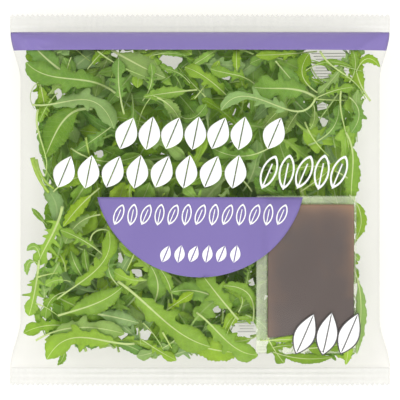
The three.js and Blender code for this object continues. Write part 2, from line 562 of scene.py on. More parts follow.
@dataclass(frozen=True)
class PolypropyleneFilm:
    """Oriented polypropylene film, cast and stretched: clear, thin and glossy."""

    name: str = "polypropylene film"
    colour: str = "#78766a"
    facing_alpha: float = 0.05
    grazing_alpha: float = 0.17
    roughness: float = 0.16
    ripple_mm: float = 9.0
    ripple_depth_mm: float = 0.4

    def material(self) -> bpy.types.Material:
        """Build the material.

        Returns:
            A film that is nearly clear from the front and shows more where it turns away.
        """
        material, tree, place = new_material(self.name)
        weight = add_node(tree, "ShaderNodeLayerWeight", Blend=0.35).outputs["Facing"]
        alpha = add_node(
            tree, "ShaderNodeMapRange", {"Value": weight},
            To_Min=self.facing_alpha, To_Max=self.grazing_alpha,
        )
        # Slack film: long shallow ripples that break the highlights up.
        ripple = add_node(
            tree, "ShaderNodeTexNoise", {"Vector": place},
            Scale=1 / (self.ripple_mm * MM), Detail=2.0, Roughness=0.45,
        )
        bump = add_node(
            tree, "ShaderNodeBump", {"Height": ripple}, Strength=0.35, Distance=self.ripple_depth_mm * MM,
        )
        shader = add_node(
            tree, "ShaderNodeBsdfPrincipled", {"Alpha": alpha, "Normal": bump},
            Base_Color=linear(self.colour), Roughness=self.roughness, IOR=1.49,
        )
        return show(material, shader)


@dataclass(frozen=True)
class CrimpedFilm:
    """Two polypropylene films heat-sealed under ribbed jaws, which leaves them a little milky."""

    name: str = "heat-sealed polypropylene film"
    colour: str = "#cfcfcb"
    alpha: float = 0.28
    alpha_spread: float = 0.03
    streak_mm: float = 2.2

    def material(self) -> bpy.types.Material:
        """Build the material.

        Returns:
            A milky, half clear film with faint streaks across the seal.
        """
        material, tree, place = new_material(self.name)
        # Streaks where the jaws gripped harder: they run along the bag's length.
        drawn = add_node(tree, "ShaderNodeMapping", {"Vector": place}, Scale=(1.0, 0.15, 1.0)).outputs[0]
        spread = (self.alpha - self.alpha_spread, self.alpha + self.alpha_spread)
        shader = add_node(
            tree, "ShaderNodeBsdfPrincipled", {"Alpha": cloud(tree, drawn, self.streak_mm, spread)},
            Base_Color=linear(self.colour), Roughness=0.3, IOR=1.49,
        )
        return show(material, shader)


@dataclass(frozen=True)
class PrintingInk:
    """Flexographic ink on the inside of the film: flat and opaque, with a trace of mottle."""

    name: str
    colour: str
    mottle: float = 0.03
    grain_mm: float = 1.2

    def material(self) -> bpy.types.Material:
        """Build the material.

        Returns:
            An even ink whose tone varies by a few hundredths.
        """
        material, tree, place = new_material(self.name)
        tone = cloud(tree, place, self.grain_mm, (1 - self.mottle, 1 + self.mottle))
        colour = add_node(tree, "ShaderNodeHueSaturation", {"Value": tone}, Color=linear(self.colour))
        shader = add_node(tree, "ShaderNodeBsdfPrincipled", {"Base Color": colour}, Roughness=0.5, IOR=1.49)
        return show(material, shader)


@dataclass(frozen=True)
class RocketLeaf:
    """A fresh rocket leaf: mid green above, greyer below, with a pale midrib and faint side veins.

    The leaf's own map gives the place across the leaf in centimetres and the share of its length.
    The attributes tone, under and rib give each leaf's lightness, which side is meant and how pale
    its midrib is.
    """

    name: str = "rocket leaf"
    dark: str = "#6d9d2e"
    light: str = "#bee056"
    below: str = "#aec986"
    rib: str = "#eaf4b4"
    vein: str = "#b4d274"
    vein_spacing_cm: float = 0.62
    mottle_mm: float = 5.0
    grain_mm: float = 0.9
    through: float = 0.42

    def veins(
        self, tree: bpy.types.NodeTree, across: bpy.types.Node, share: bpy.types.NodeSocket,
        tone: bpy.types.NodeSocket,
    ) -> bpy.types.Node:
        """Draw the side veins, which leave the midrib forwards, a few millimetres apart.

        Args:
            tree: the leaf's node tree.
            across: the distance from the midrib.
            share: the share of the leaf's length.
            tone: the leaf's own tone, which moves its veins along.

        Returns:
            The node that gives how much of a vein shows.
        """
        climb = add_node(tree, "ShaderNodeMath", {0: share}, operation="MULTIPLY", _1=9.0)
        lean = add_node(tree, "ShaderNodeMath", {0: climb, 1: across}, operation="SUBTRACT")
        shifted = add_node(tree, "ShaderNodeMath", {0: lean, 1: tone}, operation="ADD")
        turns = add_node(
            tree, "ShaderNodeMath", {0: shifted}, operation="MULTIPLY", _1=2 * math.pi / self.vein_spacing_cm,
        )
        wave = add_node(tree, "ShaderNodeMath", {0: turns}, operation="SINE")
        return add_node(
            tree, "ShaderNodeMapRange", {"Value": wave}, interpolation_type="SMOOTHSTEP",
            From_Min=0.8, From_Max=1.0, To_Min=0.0, To_Max=0.14,
        )

    def midrib(
        self, tree: bpy.types.NodeTree, across: bpy.types.Node, share: bpy.types.NodeSocket,
    ) -> bpy.types.Node:
        """Draw the midrib, as wide as the stalk at the leaf's foot and thinner towards its tip.

        Args:
            tree: the leaf's node tree.
            across: the distance from the midrib's middle.
            share: the share of the leaf's length.

        Returns:
            The node that gives how much of the midrib shows.
        """
        half = add_node(tree, "ShaderNodeMapRange", {"Value": share}, To_Min=0.095, To_Max=0.018)
        out = add_node(tree, "ShaderNodeMath", {0: across, 1: half}, operation="DIVIDE")
        pale = add_node(tree, "ShaderNodeAttribute", attribute_name="rib").outputs["Fac"]
        return add_node(
            tree, "ShaderNodeMapRange", {"Value": out, "To Min": pale}, interpolation_type="SMOOTHSTEP",
            From_Min=0.5, From_Max=1.1, To_Max=0.0,
        )

    def blade(
        self, tree: bpy.types.NodeTree, tone: bpy.types.NodeSocket, patch: bpy.types.Node,
        speckle: bpy.types.Node, vein: bpy.types.Node,
    ) -> bpy.types.Node:
        """Colour the blade: by its tone, then its side, its veins and its fine grain.

        Args:
            tree: the leaf's node tree.
            tone: the leaf's own tone.
            patch: how much lighter or darker each patch is.
            speckle: how light each grain is.
            vein: how much of a vein shows.

        Returns:
            The node that gives the blade's colour.
        """
        under = add_node(tree, "ShaderNodeAttribute", attribute_name="under").outputs["Fac"]
        lightness = add_node(tree, "ShaderNodeMath", {0: tone, 1: patch}, operation="ADD", use_clamp=True)
        body = add_node(
            tree, "ShaderNodeMix", {"Factor": lightness}, data_type="RGBA",
            _6=linear(self.dark), _7=linear(self.light),
        )
        turned = add_node(tree, "ShaderNodeMath", {0: under}, operation="MULTIPLY", _1=0.65)
        sided = add_node(
            tree, "ShaderNodeMix", {"Factor": turned, 6: body.outputs[2]}, data_type="RGBA",
            _7=linear(self.below),
        )
        veined = add_node(
            tree, "ShaderNodeMix", {"Factor": vein, 6: sided.outputs[2]}, data_type="RGBA",
            _7=linear(self.vein),
        )
        # Each leaf differs a little in hue and in depth of colour: its tone picks how.
        spread = add_node(tree, "ShaderNodeMath", {0: tone}, operation="MULTIPLY", _1=37.0)
        own = add_node(tree, "ShaderNodeMath", {0: spread}, operation="FRACT")
        hue = add_node(tree, "ShaderNodeMapRange", {"Value": own}, To_Min=0.491, To_Max=0.513)
        deepness = add_node(tree, "ShaderNodeMapRange", {"Value": own}, To_Min=1.1, To_Max=0.92)
        return add_node(
            tree, "ShaderNodeHueSaturation",
            {"Hue": hue, "Saturation": deepness, "Value": speckle, "Color": veined.outputs[2]},
        )

    def material(self) -> bpy.types.Material:
        """Build the material.

        Returns:
            A leaf that lets some light through, with its veins drawn on its own map.
        """
        material, tree, place = new_material(self.name)
        leaf_map = add_node(tree, "ShaderNodeUVMap", uv_map=LEAF_MAP)
        split = add_node(tree, "ShaderNodeSeparateXYZ", {"Vector": leaf_map})
        across = add_node(tree, "ShaderNodeMath", {0: split}, operation="ABSOLUTE")
        share = split.outputs["Y"]
        tone = add_node(tree, "ShaderNodeAttribute", attribute_name="tone").outputs["Fac"]
        vein = self.veins(tree, across, share, tone)
        patch = cloud(tree, place, self.mottle_mm, (-0.28, 0.28))
        grain = add_node(
            tree, "ShaderNodeTexNoise", {"Vector": place}, Scale=1 / (self.grain_mm * MM), Detail=2.0,
        )
        speckle = add_node(tree, "ShaderNodeMapRange", {"Value": grain}, To_Min=0.86, To_Max=1.14)
        blade = self.blade(tree, tone, patch, speckle, vein)
        colour = add_node(
            tree, "ShaderNodeMix", {"Factor": self.midrib(tree, across, share), 6: blade}, data_type="RGBA",
            _7=linear(self.rib),
        ).outputs[2]

        # The blade puckers between its veins, and the veins lie in shallow grooves.
        pucker = add_node(tree, "ShaderNodeMath", {0: grain, 1: vein}, operation="SUBTRACT")
        bump = add_node(tree, "ShaderNodeBump", {"Height": pucker}, Strength=0.5, Distance=0.25 * MM)
        shader = add_node(
            tree, "ShaderNodeBsdfPrincipled", {"Base Color": colour, "Normal": bump},
            Roughness=0.48, IOR=1.42,
        )
        # Light that has gone through the blade comes out yellower and stronger in colour.
        passed = add_node(
            tree, "ShaderNodeHueSaturation", {"Color": colour}, Hue=0.495, Saturation=1.0, Value=1.25,
        )
        glow = add_node(tree, "ShaderNodeBsdfTranslucent", {"Color": passed})
        return show(material, add_node(tree, "ShaderNodeMixShader", {1: shader, 2: glow}, Fac=self.through))


@dataclass(frozen=True)
class SachetFilm:
    """The sachet's thicker laminated film: milky round the pouch and clear where it lies on dressing.

    The attribute milky says which.
    """

    name: str = "milky laminated film"
    colour: str = "#f1fad8"
    alpha: float = 0.27
    alpha_spread: float = 0.05
    cloud_mm: float = 7.0

    def material(self) -> bpy.types.Material:
        """Build the material.

        Returns:
            A half clear, milky film with soft clouds.
        """
        material, tree, place = new_material(self.name)
        spread = (self.alpha - self.alpha_spread, self.alpha + self.alpha_spread)
        alpha = cloud(tree, place, self.cloud_mm, spread)
        milky = add_node(tree, "ShaderNodeAttribute", attribute_name="milky").outputs["Fac"]
        veil = add_node(tree, "ShaderNodeMath", {0: alpha, 1: milky}, operation="MULTIPLY")
        shader = add_node(
            tree, "ShaderNodeBsdfPrincipled", {"Alpha": veil},
            Base_Color=linear(self.colour), Roughness=0.28, IOR=1.5,
        )
        return show(material, shader)


@dataclass(frozen=True)
class Dressing:
    """A dark vinegar and oil dressing: nearly black-brown where it is deep, amber where it is thin.

    The attribute depth says how deep it is.
    """

    name: str = "balsamic dressing"
    deep: str = "#5b504d"
    thin: str = "#99785f"
    cloud_mm: float = 16.0

    def material(self) -> bpy.types.Material:
        """Build the material.

        Returns:
            A satin brown that is warmer and lighter where the dressing has run thin.
        """
        material, tree, place = new_material(self.name)
        depth = add_node(tree, "ShaderNodeAttribute", attribute_name="depth").outputs["Fac"]
        drift = cloud(tree, place, self.cloud_mm, (-0.3, 0.3), detail=2.0)
        settled = add_node(tree, "ShaderNodeMath", {0: depth, 1: drift}, operation="ADD", use_clamp=True)
        colour = add_node(
            tree, "ShaderNodeMix", {"Factor": settled}, data_type="RGBA",
            _6=linear(self.thin), _7=linear(self.deep),
        ).outputs[2]
        shader = add_node(tree, "ShaderNodeBsdfPrincipled", {"Base Color": colour}, Roughness=0.6, IOR=1.4)
        return show(material, shader)


@dataclass(frozen=True)
class LightTable:
    """The studio's white table, lit softly from below, so that it shows no hard shadow."""

    name: str = "opal acrylic table"
    colour: str = "#b6b6b2"
    light: str = "#fffcf6"
    glow: float = 0.57
    grain_mm: float = 30.0

    def material(self) -> bpy.types.Material:
        """Build the material.

        Returns:
            A matt white surface with a nearly even glow of its own.
        """
        material, tree, place = new_material(self.name)
        # Opal sheet isn't quite even: its tone drifts by a hundredth or two.
        tone = cloud(tree, place, self.grain_mm, (0.98, 1.02), detail=2.0)
        colour = add_node(tree, "ShaderNodeHueSaturation", {"Value": tone}, Color=linear(self.colour))
        shader = add_node(
            tree, "ShaderNodeBsdfPrincipled", {"Base Color": colour}, Roughness=0.6,
            Emission_Color=linear(self.light), Emission_Strength=self.glow,
        )
        return show(material, shader)


# The film


@dataclass
class FilmBag:
    """The clear bag: a shell of film with a crimped, toothed seal at each end."""

    form: BagForm
    height: SampledHeight
    columns: int = 150
    rows: int = 144
    crowding: float = 0.35
    tooth_count: int = 76
    tooth_depth: float = 1.2
    rib_pitch: float = 3.0
    rib_rise: float = 0.3
    seal_rows: int = 24
    seal_wall: float = 0.25
    seal_sway: float = 0.35
    long_wave: float = 17.0
    short_wave: float = 7.3

    def crowd(self, s: Points) -> Points:
        """Draw lines closer together towards the ends of -1 to 1."""
        return s + self.crowding * np.sin(math.pi * s) / math.pi

    def build_body(self) -> bpy.types.Object:
        """Build the shell between the seals.

        Returns:
            The closed shell.
        """
        sheets = []
        for name, rule in (("front", self.height), ("back", self.form.back)):
            sheet = add_grid(name, self.columns, self.rows)
            s, t, _ = read_points(sheet).T
            y = self.crowd(t) * self.form.body_half
            x = self.crowd(s) * self.form.half_width(y)
            write_points(sheet, x, y, np.where(on_rim(s, t), self.form.seal_height, rule(x, y)))
            sheets.append(sheet)
        return close_shell(*sheets, "bag_film")

    def build_seal(self, side: int) -> bpy.types.Object:
        """Build one end seal.

        Args:
            side: 1 for the top seal and -1 for the bottom one.

        Returns:
            The seal, a thin ribbed slab with a toothed outer edge.
        """
        seal = add_grid("top_seal" if side > 0 else "bottom_seal", 2 * self.tooth_count, self.seal_rows)
        s, t, _ = read_points(seal).T
        column = np.rint((s + 1) * self.tooth_count)
        tooth = np.where(column % 2 == 0, self.tooth_depth, 0.0)
        out = (t + 1) / 2
        x = s * self.form.seal_width / 2
        reach = out * (self.form.seal_depth - tooth)
        ribs = self.rib_rise * np.sin(2 * math.pi * reach / self.rib_pitch)
        ribs *= smooth(reach) * smooth(self.form.seal_depth - reach)
        sway = self.seal_sway * out * (np.sin(x / self.long_wave + side) + 0.6 * np.sin(x / self.short_wave))
        # The grid's own Y runs away from the body, which for the bottom seal means turning it over.
        y = side * (self.form.body_half + reach)
        write_points(seal, x * side, y, self.form.seal_height + ribs + sway)
        apply_modifier(seal, "SOLIDIFY", thickness=self.seal_wall * MM, offset=0.0)
        return seal

    def build(self) -> None:
        """Build and dress the film and both seals."""
        finish(self.build_body(), PolypropyleneFilm().material())
        crimped = CrimpedFilm().material()
        for side in (1, -1):
            finish(self.build_seal(side), crimped)


# The print


@dataclass(frozen=True)
class LeafRow:
    """A row of equal leaf shapes: its two ends, their number, their middles' y and their size.

    The stroke is the width of the line that draws them, or 0 where they are solid.
    """

    left: float
    right: float
    count: int
    y: float
    size: Place
    stroke: float = 0.0


@dataclass
class Print:
    """Plain shapes of ink just under the front film, and a few grey lines on the back film.

    Each block of grey lines on the back film has its middle's x, its top, its width and its number
    of lines.
    """

    form: BagForm
    height: SampledHeight
    below: float = 0.22
    wall: float = 0.06
    band_depth: float = 10.2
    disc_centre: Place = (0.0, 15.7)
    disc_radius: float = 57.9
    disc_chord: float = 1.5
    leaf_slit: float = 0.6
    lean: float = 0.3
    sway: float = 0.1
    heavy_rows: tuple[LeafRow, ...] = (
        LeafRow(-46.3, 29.0, 6, 36.4, (11.8, 18.6)), LeafRow(33.9, 47.2, 1, 36.4, (11.8, 18.6)),
        LeafRow(-80.9, 26.2, 8, 15.4, (11.8, 18.6)),
    )
    thin_rows: tuple[LeafRow, ...] = (
        LeafRow(32.8, 81.0, 5, 15.4, (7.4, 17.6), 1.0), LeafRow(-48.0, 48.3, 13, -7.9, (4.6, 10.8), 0.7),
    )
    small_rows: tuple[LeafRow, ...] = (LeafRow(-22.5, 23.1, 6, -29.4, (5.6, 9.8)),)
    badge_rows: tuple[LeafRow, ...] = (LeafRow(51.4, 88.2, 3, -73.4, (10.8, 23.5)),)
    badge_line: float = 0.75
    back_blocks: tuple[tuple[float, float, float, int], ...] = (
        (72.0, 81.5, 20.0, 9), (66.5, 53.0, 7.0, 5), (26.0, -68.6, 10.0, 4), (36.5, -81.8, 10.0, 3),
    )
    line_pitch: float = 1.6
    line_half: float = 0.17
    above_back: float = 0.4

    def lay(self, piece: bpy.types.Object, x: Points, y: Points, lower: float = 0.0) -> bpy.types.Object:
        """Lay a flat piece against the inside of the front film and give it a thin wall.

        Args:
            piece: the piece, whose vertices get these places.
            x: places across the bag.
            y: places along it.
            lower: how far below the other ink it lies.

        Returns:
            The piece.
        """
        write_points(piece, x, y, self.height(x, y) - self.below - lower)
        apply_modifier(piece, "SOLIDIFY", thickness=self.wall * MM, offset=0.0)
        return piece

    def build_band(self) -> bpy.types.Object:
        """Build the band under the top seal.

        Returns:
            A band as wide as the bag.
        """
        band = add_grid("purple_band", 150, 10)
        s, t, _ = read_points(band).T
        y = self.form.body_half - (1 - t) / 2 * self.band_depth
        return self.lay(band, 0.998 * s * self.form.half_width(y), y)

    def build_disc(self) -> bpy.types.Object:
        """Build the disc in the middle of the front.

        Returns:
            The disc's lower part, cut off level at the top.
        """
        disc = add_grid("purple_disc", 72, 34)
        s, t, _ = read_points(disc).T
        lowest = self.disc_centre[1] - self.disc_radius
        # Rows crowd towards the lowest point, where the disc's edge turns level.
        y = lowest + (self.disc_chord - lowest) * ((t + 1) / 2) ** 1.7
        half = np.sqrt(np.maximum(self.disc_radius ** 2 - (y - self.disc_centre[1]) ** 2, 0.01))
        return self.lay(disc, self.disc_centre[0] + s * half, y, lower=0.12)

    def turned(self, centre: Place, across: Points, along: Points, turn: float) -> tuple[Points, Points]:
        """Lean a shape to the right.

        Args:
            centre: the shape's middle.
            across: its places across, from its middle.
            along: its places along, from its middle.
            turn: how far it leans, in radians.

        Returns:
            Its places on the bag.
        """
        x = centre[0] + across * math.cos(turn) + along * math.sin(turn)
        y = centre[1] - across * math.sin(turn) + along * math.cos(turn)
        return x, y

    def half_leaf(self, centre: Place, size: Place, side: int, turn: float, grow: float) -> bpy.types.Object:
        """Build one half of a solid leaf shape.

        Args:
            centre: the leaf's middle.
            size: its width and length.
            side: 1 for the right half, -1 for the left.
            turn: how far it leans, in radians.
            grow: how far its outline stands outside the size, for an outline's backing.

        Returns:
            The half leaf.
        """
        piece = add_grid("half_leaf", 5, 14)
        s, t, _ = read_points(piece).T
        outer = (size[0] / 2 + grow) * np.cos(math.pi / 2 * np.abs(t)) ** 0.9 * (1 - 0.18 * t)
        inner = np.minimum(0.0 if grow else self.leaf_slit / 2, outer)
        across = side * (inner + (s + 1) / 2 * (outer - inner))
        x, y = self.turned(centre, across, t * (size[1] / 2 + grow), turn)
        return self.lay(piece, x, y, lower=0.0 if grow else -0.1)

    def thin_leaf(self, centre: Place, size: Place, stroke: float, turn: float) -> list[bpy.types.Object]:
        """Build a leaf drawn as a thin line with a midrib.

        Args:
            centre: the leaf's middle.
            size: its width and length.
            stroke: the line's width.
            turn: how far it leans, in radians.

        Returns:
            The closed outline and the midrib.
        """
        ring = add_grid("thin_leaf", 40, 2)
        s, t, _ = read_points(ring).T
        angle = math.pi * s
        out = np.sign(np.cos(angle)) * np.abs(np.cos(angle)) ** 1.4
        stretch = t * stroke / 2
        across = out * (size[0] / 2 + stretch)
        along = np.sin(angle) * (size[1] / 2 + 1.6 * stretch)
        self.lay(ring, *self.turned(centre, across, along, turn), lower=-0.1)
        rib = add_grid("thin_rib", 1, 6)
        s, t, _ = read_points(rib).T
        along = (t - 0.35) * size[1] * 0.42
        self.lay(rib, *self.turned(centre, s * stroke * 0.4, along, turn), lower=-0.1)
        return [ring, rib]

    def build_rows(self, name: str, rows: tuple[LeafRow, ...], grow: float = 0.0) -> bpy.types.Object:
        """Build rows of leaf shapes as one piece.

        Args:
            name: the piece's name.
            rows: its rows.
            grow: how far the shapes stand outside their size, for a line round others.

        Returns:
            The piece.
        """
        shapes = []
        for row in rows:
            pitch = (row.right - row.left) / row.count
            for i in range(row.count):
                centre = (row.left + (i + 0.5) * pitch, row.y)
                turn = self.lean + self.sway * (-1) ** i
                if row.stroke:
                    shapes += self.thin_leaf(centre, row.size, row.stroke, turn)
                else:
                    shapes += [self.half_leaf(centre, row.size, side, turn, grow) for side in (1, -1)]
        return join(shapes, name)

    def build_back_lines(self) -> bpy.types.Object:
        """Build the blocks of short grey lines on the back film.

        Returns:
            All the lines as one piece.
        """
        lines = []
        for x, top, width, count in self.back_blocks:
            for i in range(count):
                line = add_grid("back_line", 12, 1)
                s, t, _ = read_points(line).T
                across = x + s * width / 2 * (1 - 0.12 * (i % 3))
                along = top - i * self.line_pitch + t * self.line_half
                write_points(line, across, along, self.form.back(across, along) + self.above_back)
                apply_modifier(line, "SOLIDIFY", thickness=self.wall * MM, offset=0.0)
                lines.append(line)
        return join(lines, "grey_back_lines")

    def build(self) -> None:
        """Build and dress all printed shapes."""
        # The disc faces the lamps and the band slopes away, so the disc gets a darker copy of the ink:
        # painted shade.
        band_ink = PrintingInk("purple printing ink of the band", "#8373b6").material()
        disc_ink_painted_darker = PrintingInk("purple printing ink of the disc, painted darker as shade", "#7a6bac").material()
        white = PrintingInk("white printing ink", "#ffffff", mottle=0.01).material()
        grey = PrintingInk("grey printing ink", "#c6c4c1").material()
        dark = PrintingInk("dark grey printing ink", "#4a4747").material()
        for piece, ink in (
            (self.build_band(), band_ink),
            (self.build_disc(), disc_ink_painted_darker),
            (self.build_rows("white_leaf_rows", self.heavy_rows), white),
            (self.build_rows("white_thin_leaves", self.thin_rows), white),
            (self.build_rows("white_small_leaves", self.small_rows), white),
            (self.build_back_lines(), grey),
            (self.build_rows("white_badge", self.badge_rows), white),
            (self.build_rows("badge_outline", self.badge_rows, self.badge_line), dark),
        ):
            finish(piece, ink)


# The leaves

class LeafKind(Enum):
    """The shapes of leaf in the bag."""

    ROCKET = "lobed_leaves"
    FINE = "fine_lobed_leaves"
    OAK = "wide_lobed_leaves"
    BROAD = "toothed_leaves"
    STALK = "stalks"


@dataclass(frozen=True)
class LeafShape:
    """The flat outline of one kind of leaf, as modelled before it is bent.

    A leaf is a stalk, a narrow blade with lobes on both sides and a long lobe at its tip.
    """

    seed: int
    length: float = 95.0
    stalk_share: float = 0.28
    stalk_half: float = 0.85
    blade_half: float = 3.0
    lobes: int = 3
    lobe_reach: float = 10.5
    lobe_half: float = 3.4
    lobe_point: float = 0.6
    lean: float = 0.7
    tip_share: float = 0.34
    tip_half: float = 6.2
    tooth: float = 0.6
    tooth_pitch: float = 4.6
    wobble: float = 0.5
    rows: int = 54
    thickness: float = 0.34

    def half_widths(self, share: Points) -> tuple[Points, Points]:
        """Draw the leaf's outline, always the same one for a seed.

        Args:
            share: places along the leaf, from 0 at its foot to 1 at its tip.

        Returns:
            The half width at each place, on the left and on the right.
        """
        draw = np.random.default_rng(self.seed)
        along = share * self.length
        foot, crown = self.stalk_share * self.length, (1 - self.tip_share) * self.length
        tip = np.clip((along - crown) / (self.length - crown), 0, 1)
        sides = []
        for _ in range(2):
            # The stalk narrows all the way, and the blade begins at its end.
            half = self.stalk_half * (1 - 0.5 * share)
            blade = self.blade_half * smooth((along - foot) / 9.0) * smooth((1 - share) / 0.1)
            half = np.maximum(half, blade)
            # The lobes stand between the foot and the crown, longer towards the tip.
            for i in range(self.lobes):
                place = foot + (crown - foot) * (i + 0.5) / self.lobes + draw.normal(0, 1.8)
                reach = self.lobe_reach * (0.55 + 0.45 * (i + 1) / self.lobes) * draw.uniform(0.6, 1.15)
                away = np.abs(along - place) / (self.lobe_half * draw.uniform(0.8, 1.25))
                half = np.maximum(half, reach * np.clip(1 - away ** 2.2, 0, 1) ** self.lobe_point)
            half = np.maximum(half, self.tip_half * np.sin(math.pi * tip ** 0.85) ** 0.7)
            # Teeth and a gentle wobble roughen the edge where the leaf is wider than its stalk.
            saw = np.abs((along + draw.uniform(0, 9)) / self.tooth_pitch % 1 - 0.5)
            sway = np.sin(along / 3.1 + draw.uniform(0, 6)) + np.sin(along / 1.7 + draw.uniform(0, 6))
            half = half - (self.tooth * 2 * saw - self.wobble * sway / 2) * smooth((half - 1.6) / 2.0)
            sides.append(np.maximum(half, 0.1))
        return sides[0], sides[1]

    def row_shares(self) -> Points:
        """Space the rows of the leaf.

        Returns:
            Their places along it, closer together where its outline moves in or out.
        """
        fine = np.linspace(0, 1, 900)
        moves = sum(np.abs(np.gradient(half, fine)) for half in self.half_widths(fine))
        run = np.concatenate([[0], np.cumsum(moves[1:] + 0.55 * self.length)])
        return np.interp(np.linspace(0, run[-1], self.rows + 1), run, fine)

    def flat(self) -> tuple[Points, Points, Points]:
        """The grid of places of the flat leaf, across and along, and its half thickness.

        Returns:
            Three tables with a row for each row of the leaf and 7 columns.
        """
        share = self.row_shares()[:, None]
        left, right = (half[:, None] for half in self.half_widths(share[:, 0]))
        # Seven columns: the midrib, its two sides, the middle of each half and the two edges.
        steps = np.array([[-1.0, -0.5, -0.12, 0.0, 0.12, 0.5, 1.0]])
        half = np.where(steps < 0, left, right)
        rib = np.minimum(0.9, 0.35 * half)
        across = np.where(np.abs(steps) == 0.12, np.sign(steps) * rib, steps * half)
        # The lobes lean forwards, but none reaches far past the tip.
        lean = self.lean * np.maximum(np.abs(across) - 0.6 * self.blade_half, 0)
        along = share * self.length + np.minimum(lean, 1.1 * (1.03 - share) * self.length)
        # The stalk and the midrib are round in section, and the edges are thin.
        core = self.stalk_half * (1 - 0.75 * share)
        ridge = core * np.sqrt(np.clip(1 - (across / (core * 1.6)) ** 2, 0, 1))
        edge = np.where(np.abs(steps) == 1.0, 0.45, 1.0)
        return across, along, np.maximum(self.thickness / 2 * edge, 0.8 * ridge)


LEAF_SHAPES = {
    LeafKind.ROCKET: (
        LeafShape(11),
        LeafShape(
            13, length=100, lobes=2, lobe_reach=10.0, lobe_half=3.8, blade_half=3.4,
            tip_share=0.42, tip_half=6.8,
        ),
        LeafShape(
            15, length=48, stalk_share=0.2, stalk_half=0.7, blade_half=2.6, lobes=2,
            lobe_reach=8.4, lobe_half=3.0, tip_share=0.42, tip_half=5.8, rows=30,
        ),
    ),
    LeafKind.FINE: (
        LeafShape(
            12, length=88, stalk_share=0.2, blade_half=2.2, lobes=4, lobe_reach=9.0,
            lobe_half=2.6, tip_share=0.26, tip_half=4.6, lean=0.8,
        ),
        LeafShape(
            14, length=92, stalk_share=0.3, lobes=3, lobe_reach=8.6, lobe_half=3.4,
            lobe_point=0.9, blade_half=2.4, tip_share=0.32, tip_half=5.0, lean=0.8,
        ),
        LeafShape(
            16, length=46, stalk_share=0.16, stalk_half=0.7, blade_half=2.0, lobes=3,
            lobe_reach=7.4, lobe_half=2.3, tip_share=0.34, tip_half=4.2, lean=0.8, rows=30,
        ),
    ),
    LeafKind.OAK: (
        LeafShape(
            21, length=92, lobe_reach=12.0, lobe_half=4.4, blade_half=4.4, tip_half=7.6,
            lean=0.6, lobe_point=0.5,
        ),
        LeafShape(
            22, length=88, lobes=3, lobe_reach=10.0, lobe_half=4.6, blade_half=5.2,
            tip_share=0.38, tip_half=8.2, lean=0.5, lobe_point=0.5, stalk_share=0.22,
        ),
        LeafShape(
            23, length=46, stalk_share=0.16, stalk_half=0.7, blade_half=3.6, lobes=2,
            lobe_reach=8.8, lobe_half=3.8, tip_share=0.4, tip_half=6.6, lean=0.5, lobe_point=0.5, rows=30,
        ),
    ),
    LeafKind.BROAD: (
        LeafShape(
            31, length=80, stalk_share=0.16, lobes=0, blade_half=2.0, tip_share=0.82,
            tip_half=8.0, tooth=1.0, tooth_pitch=4.4, lean=0.45, wobble=0.5,
        ),
        LeafShape(
            32, length=90, stalk_share=0.2, lobes=0, blade_half=2.0, tip_share=0.78,
            tip_half=6.4, tooth=0.9, tooth_pitch=6.2, lean=0.5, wobble=0.9,
        ),
        LeafShape(
            33, length=44, stalk_share=0.14, stalk_half=0.7, lobes=0, blade_half=1.6,
            tip_share=0.82, tip_half=5.6, tooth=0.8, tooth_pitch=4.2, lean=0.5, rows=26,
        ),
    ),
    LeafKind.STALK: (
        LeafShape(
            41, stalk_share=0.72, lobes=0, blade_half=1.2, tip_share=0.26, tip_half=4.0,
            tooth=0.3, rows=26,
        ),
        LeafShape(
            42, stalk_share=0.95, lobes=0, blade_half=0.5, tip_share=0.04, tip_half=0.5,
            tooth=0.0, rows=18,
        ),
    ),
}


@dataclass(frozen=True)
class Leaf:
    """One leaf's place in the heap: its spine seen from above, and how it is bent.

    The spine goes through three or four places, from the stalk's foot to the tip. Width scales the
    leaf across, tone is its lightness from 0 to 1, fold raises its two halves, in degrees, shape
    picks one of its kind, turned shows the under side, rib is how pale the midrib is, and above
    lays it over the sachet.
    """

    kind: LeafKind
    spine: tuple[Place, ...]
    width: float = 1.0
    tone: float = 0.5
    fold: Place = (14.0, 14.0)
    shape: int = 1
    turned: bool = False
    ripple: float = 1.3
    phase: float = 0.0
    arch: float = 1.0
    twist: float = 0.0
    rib: float = 0.9
    above: bool = False


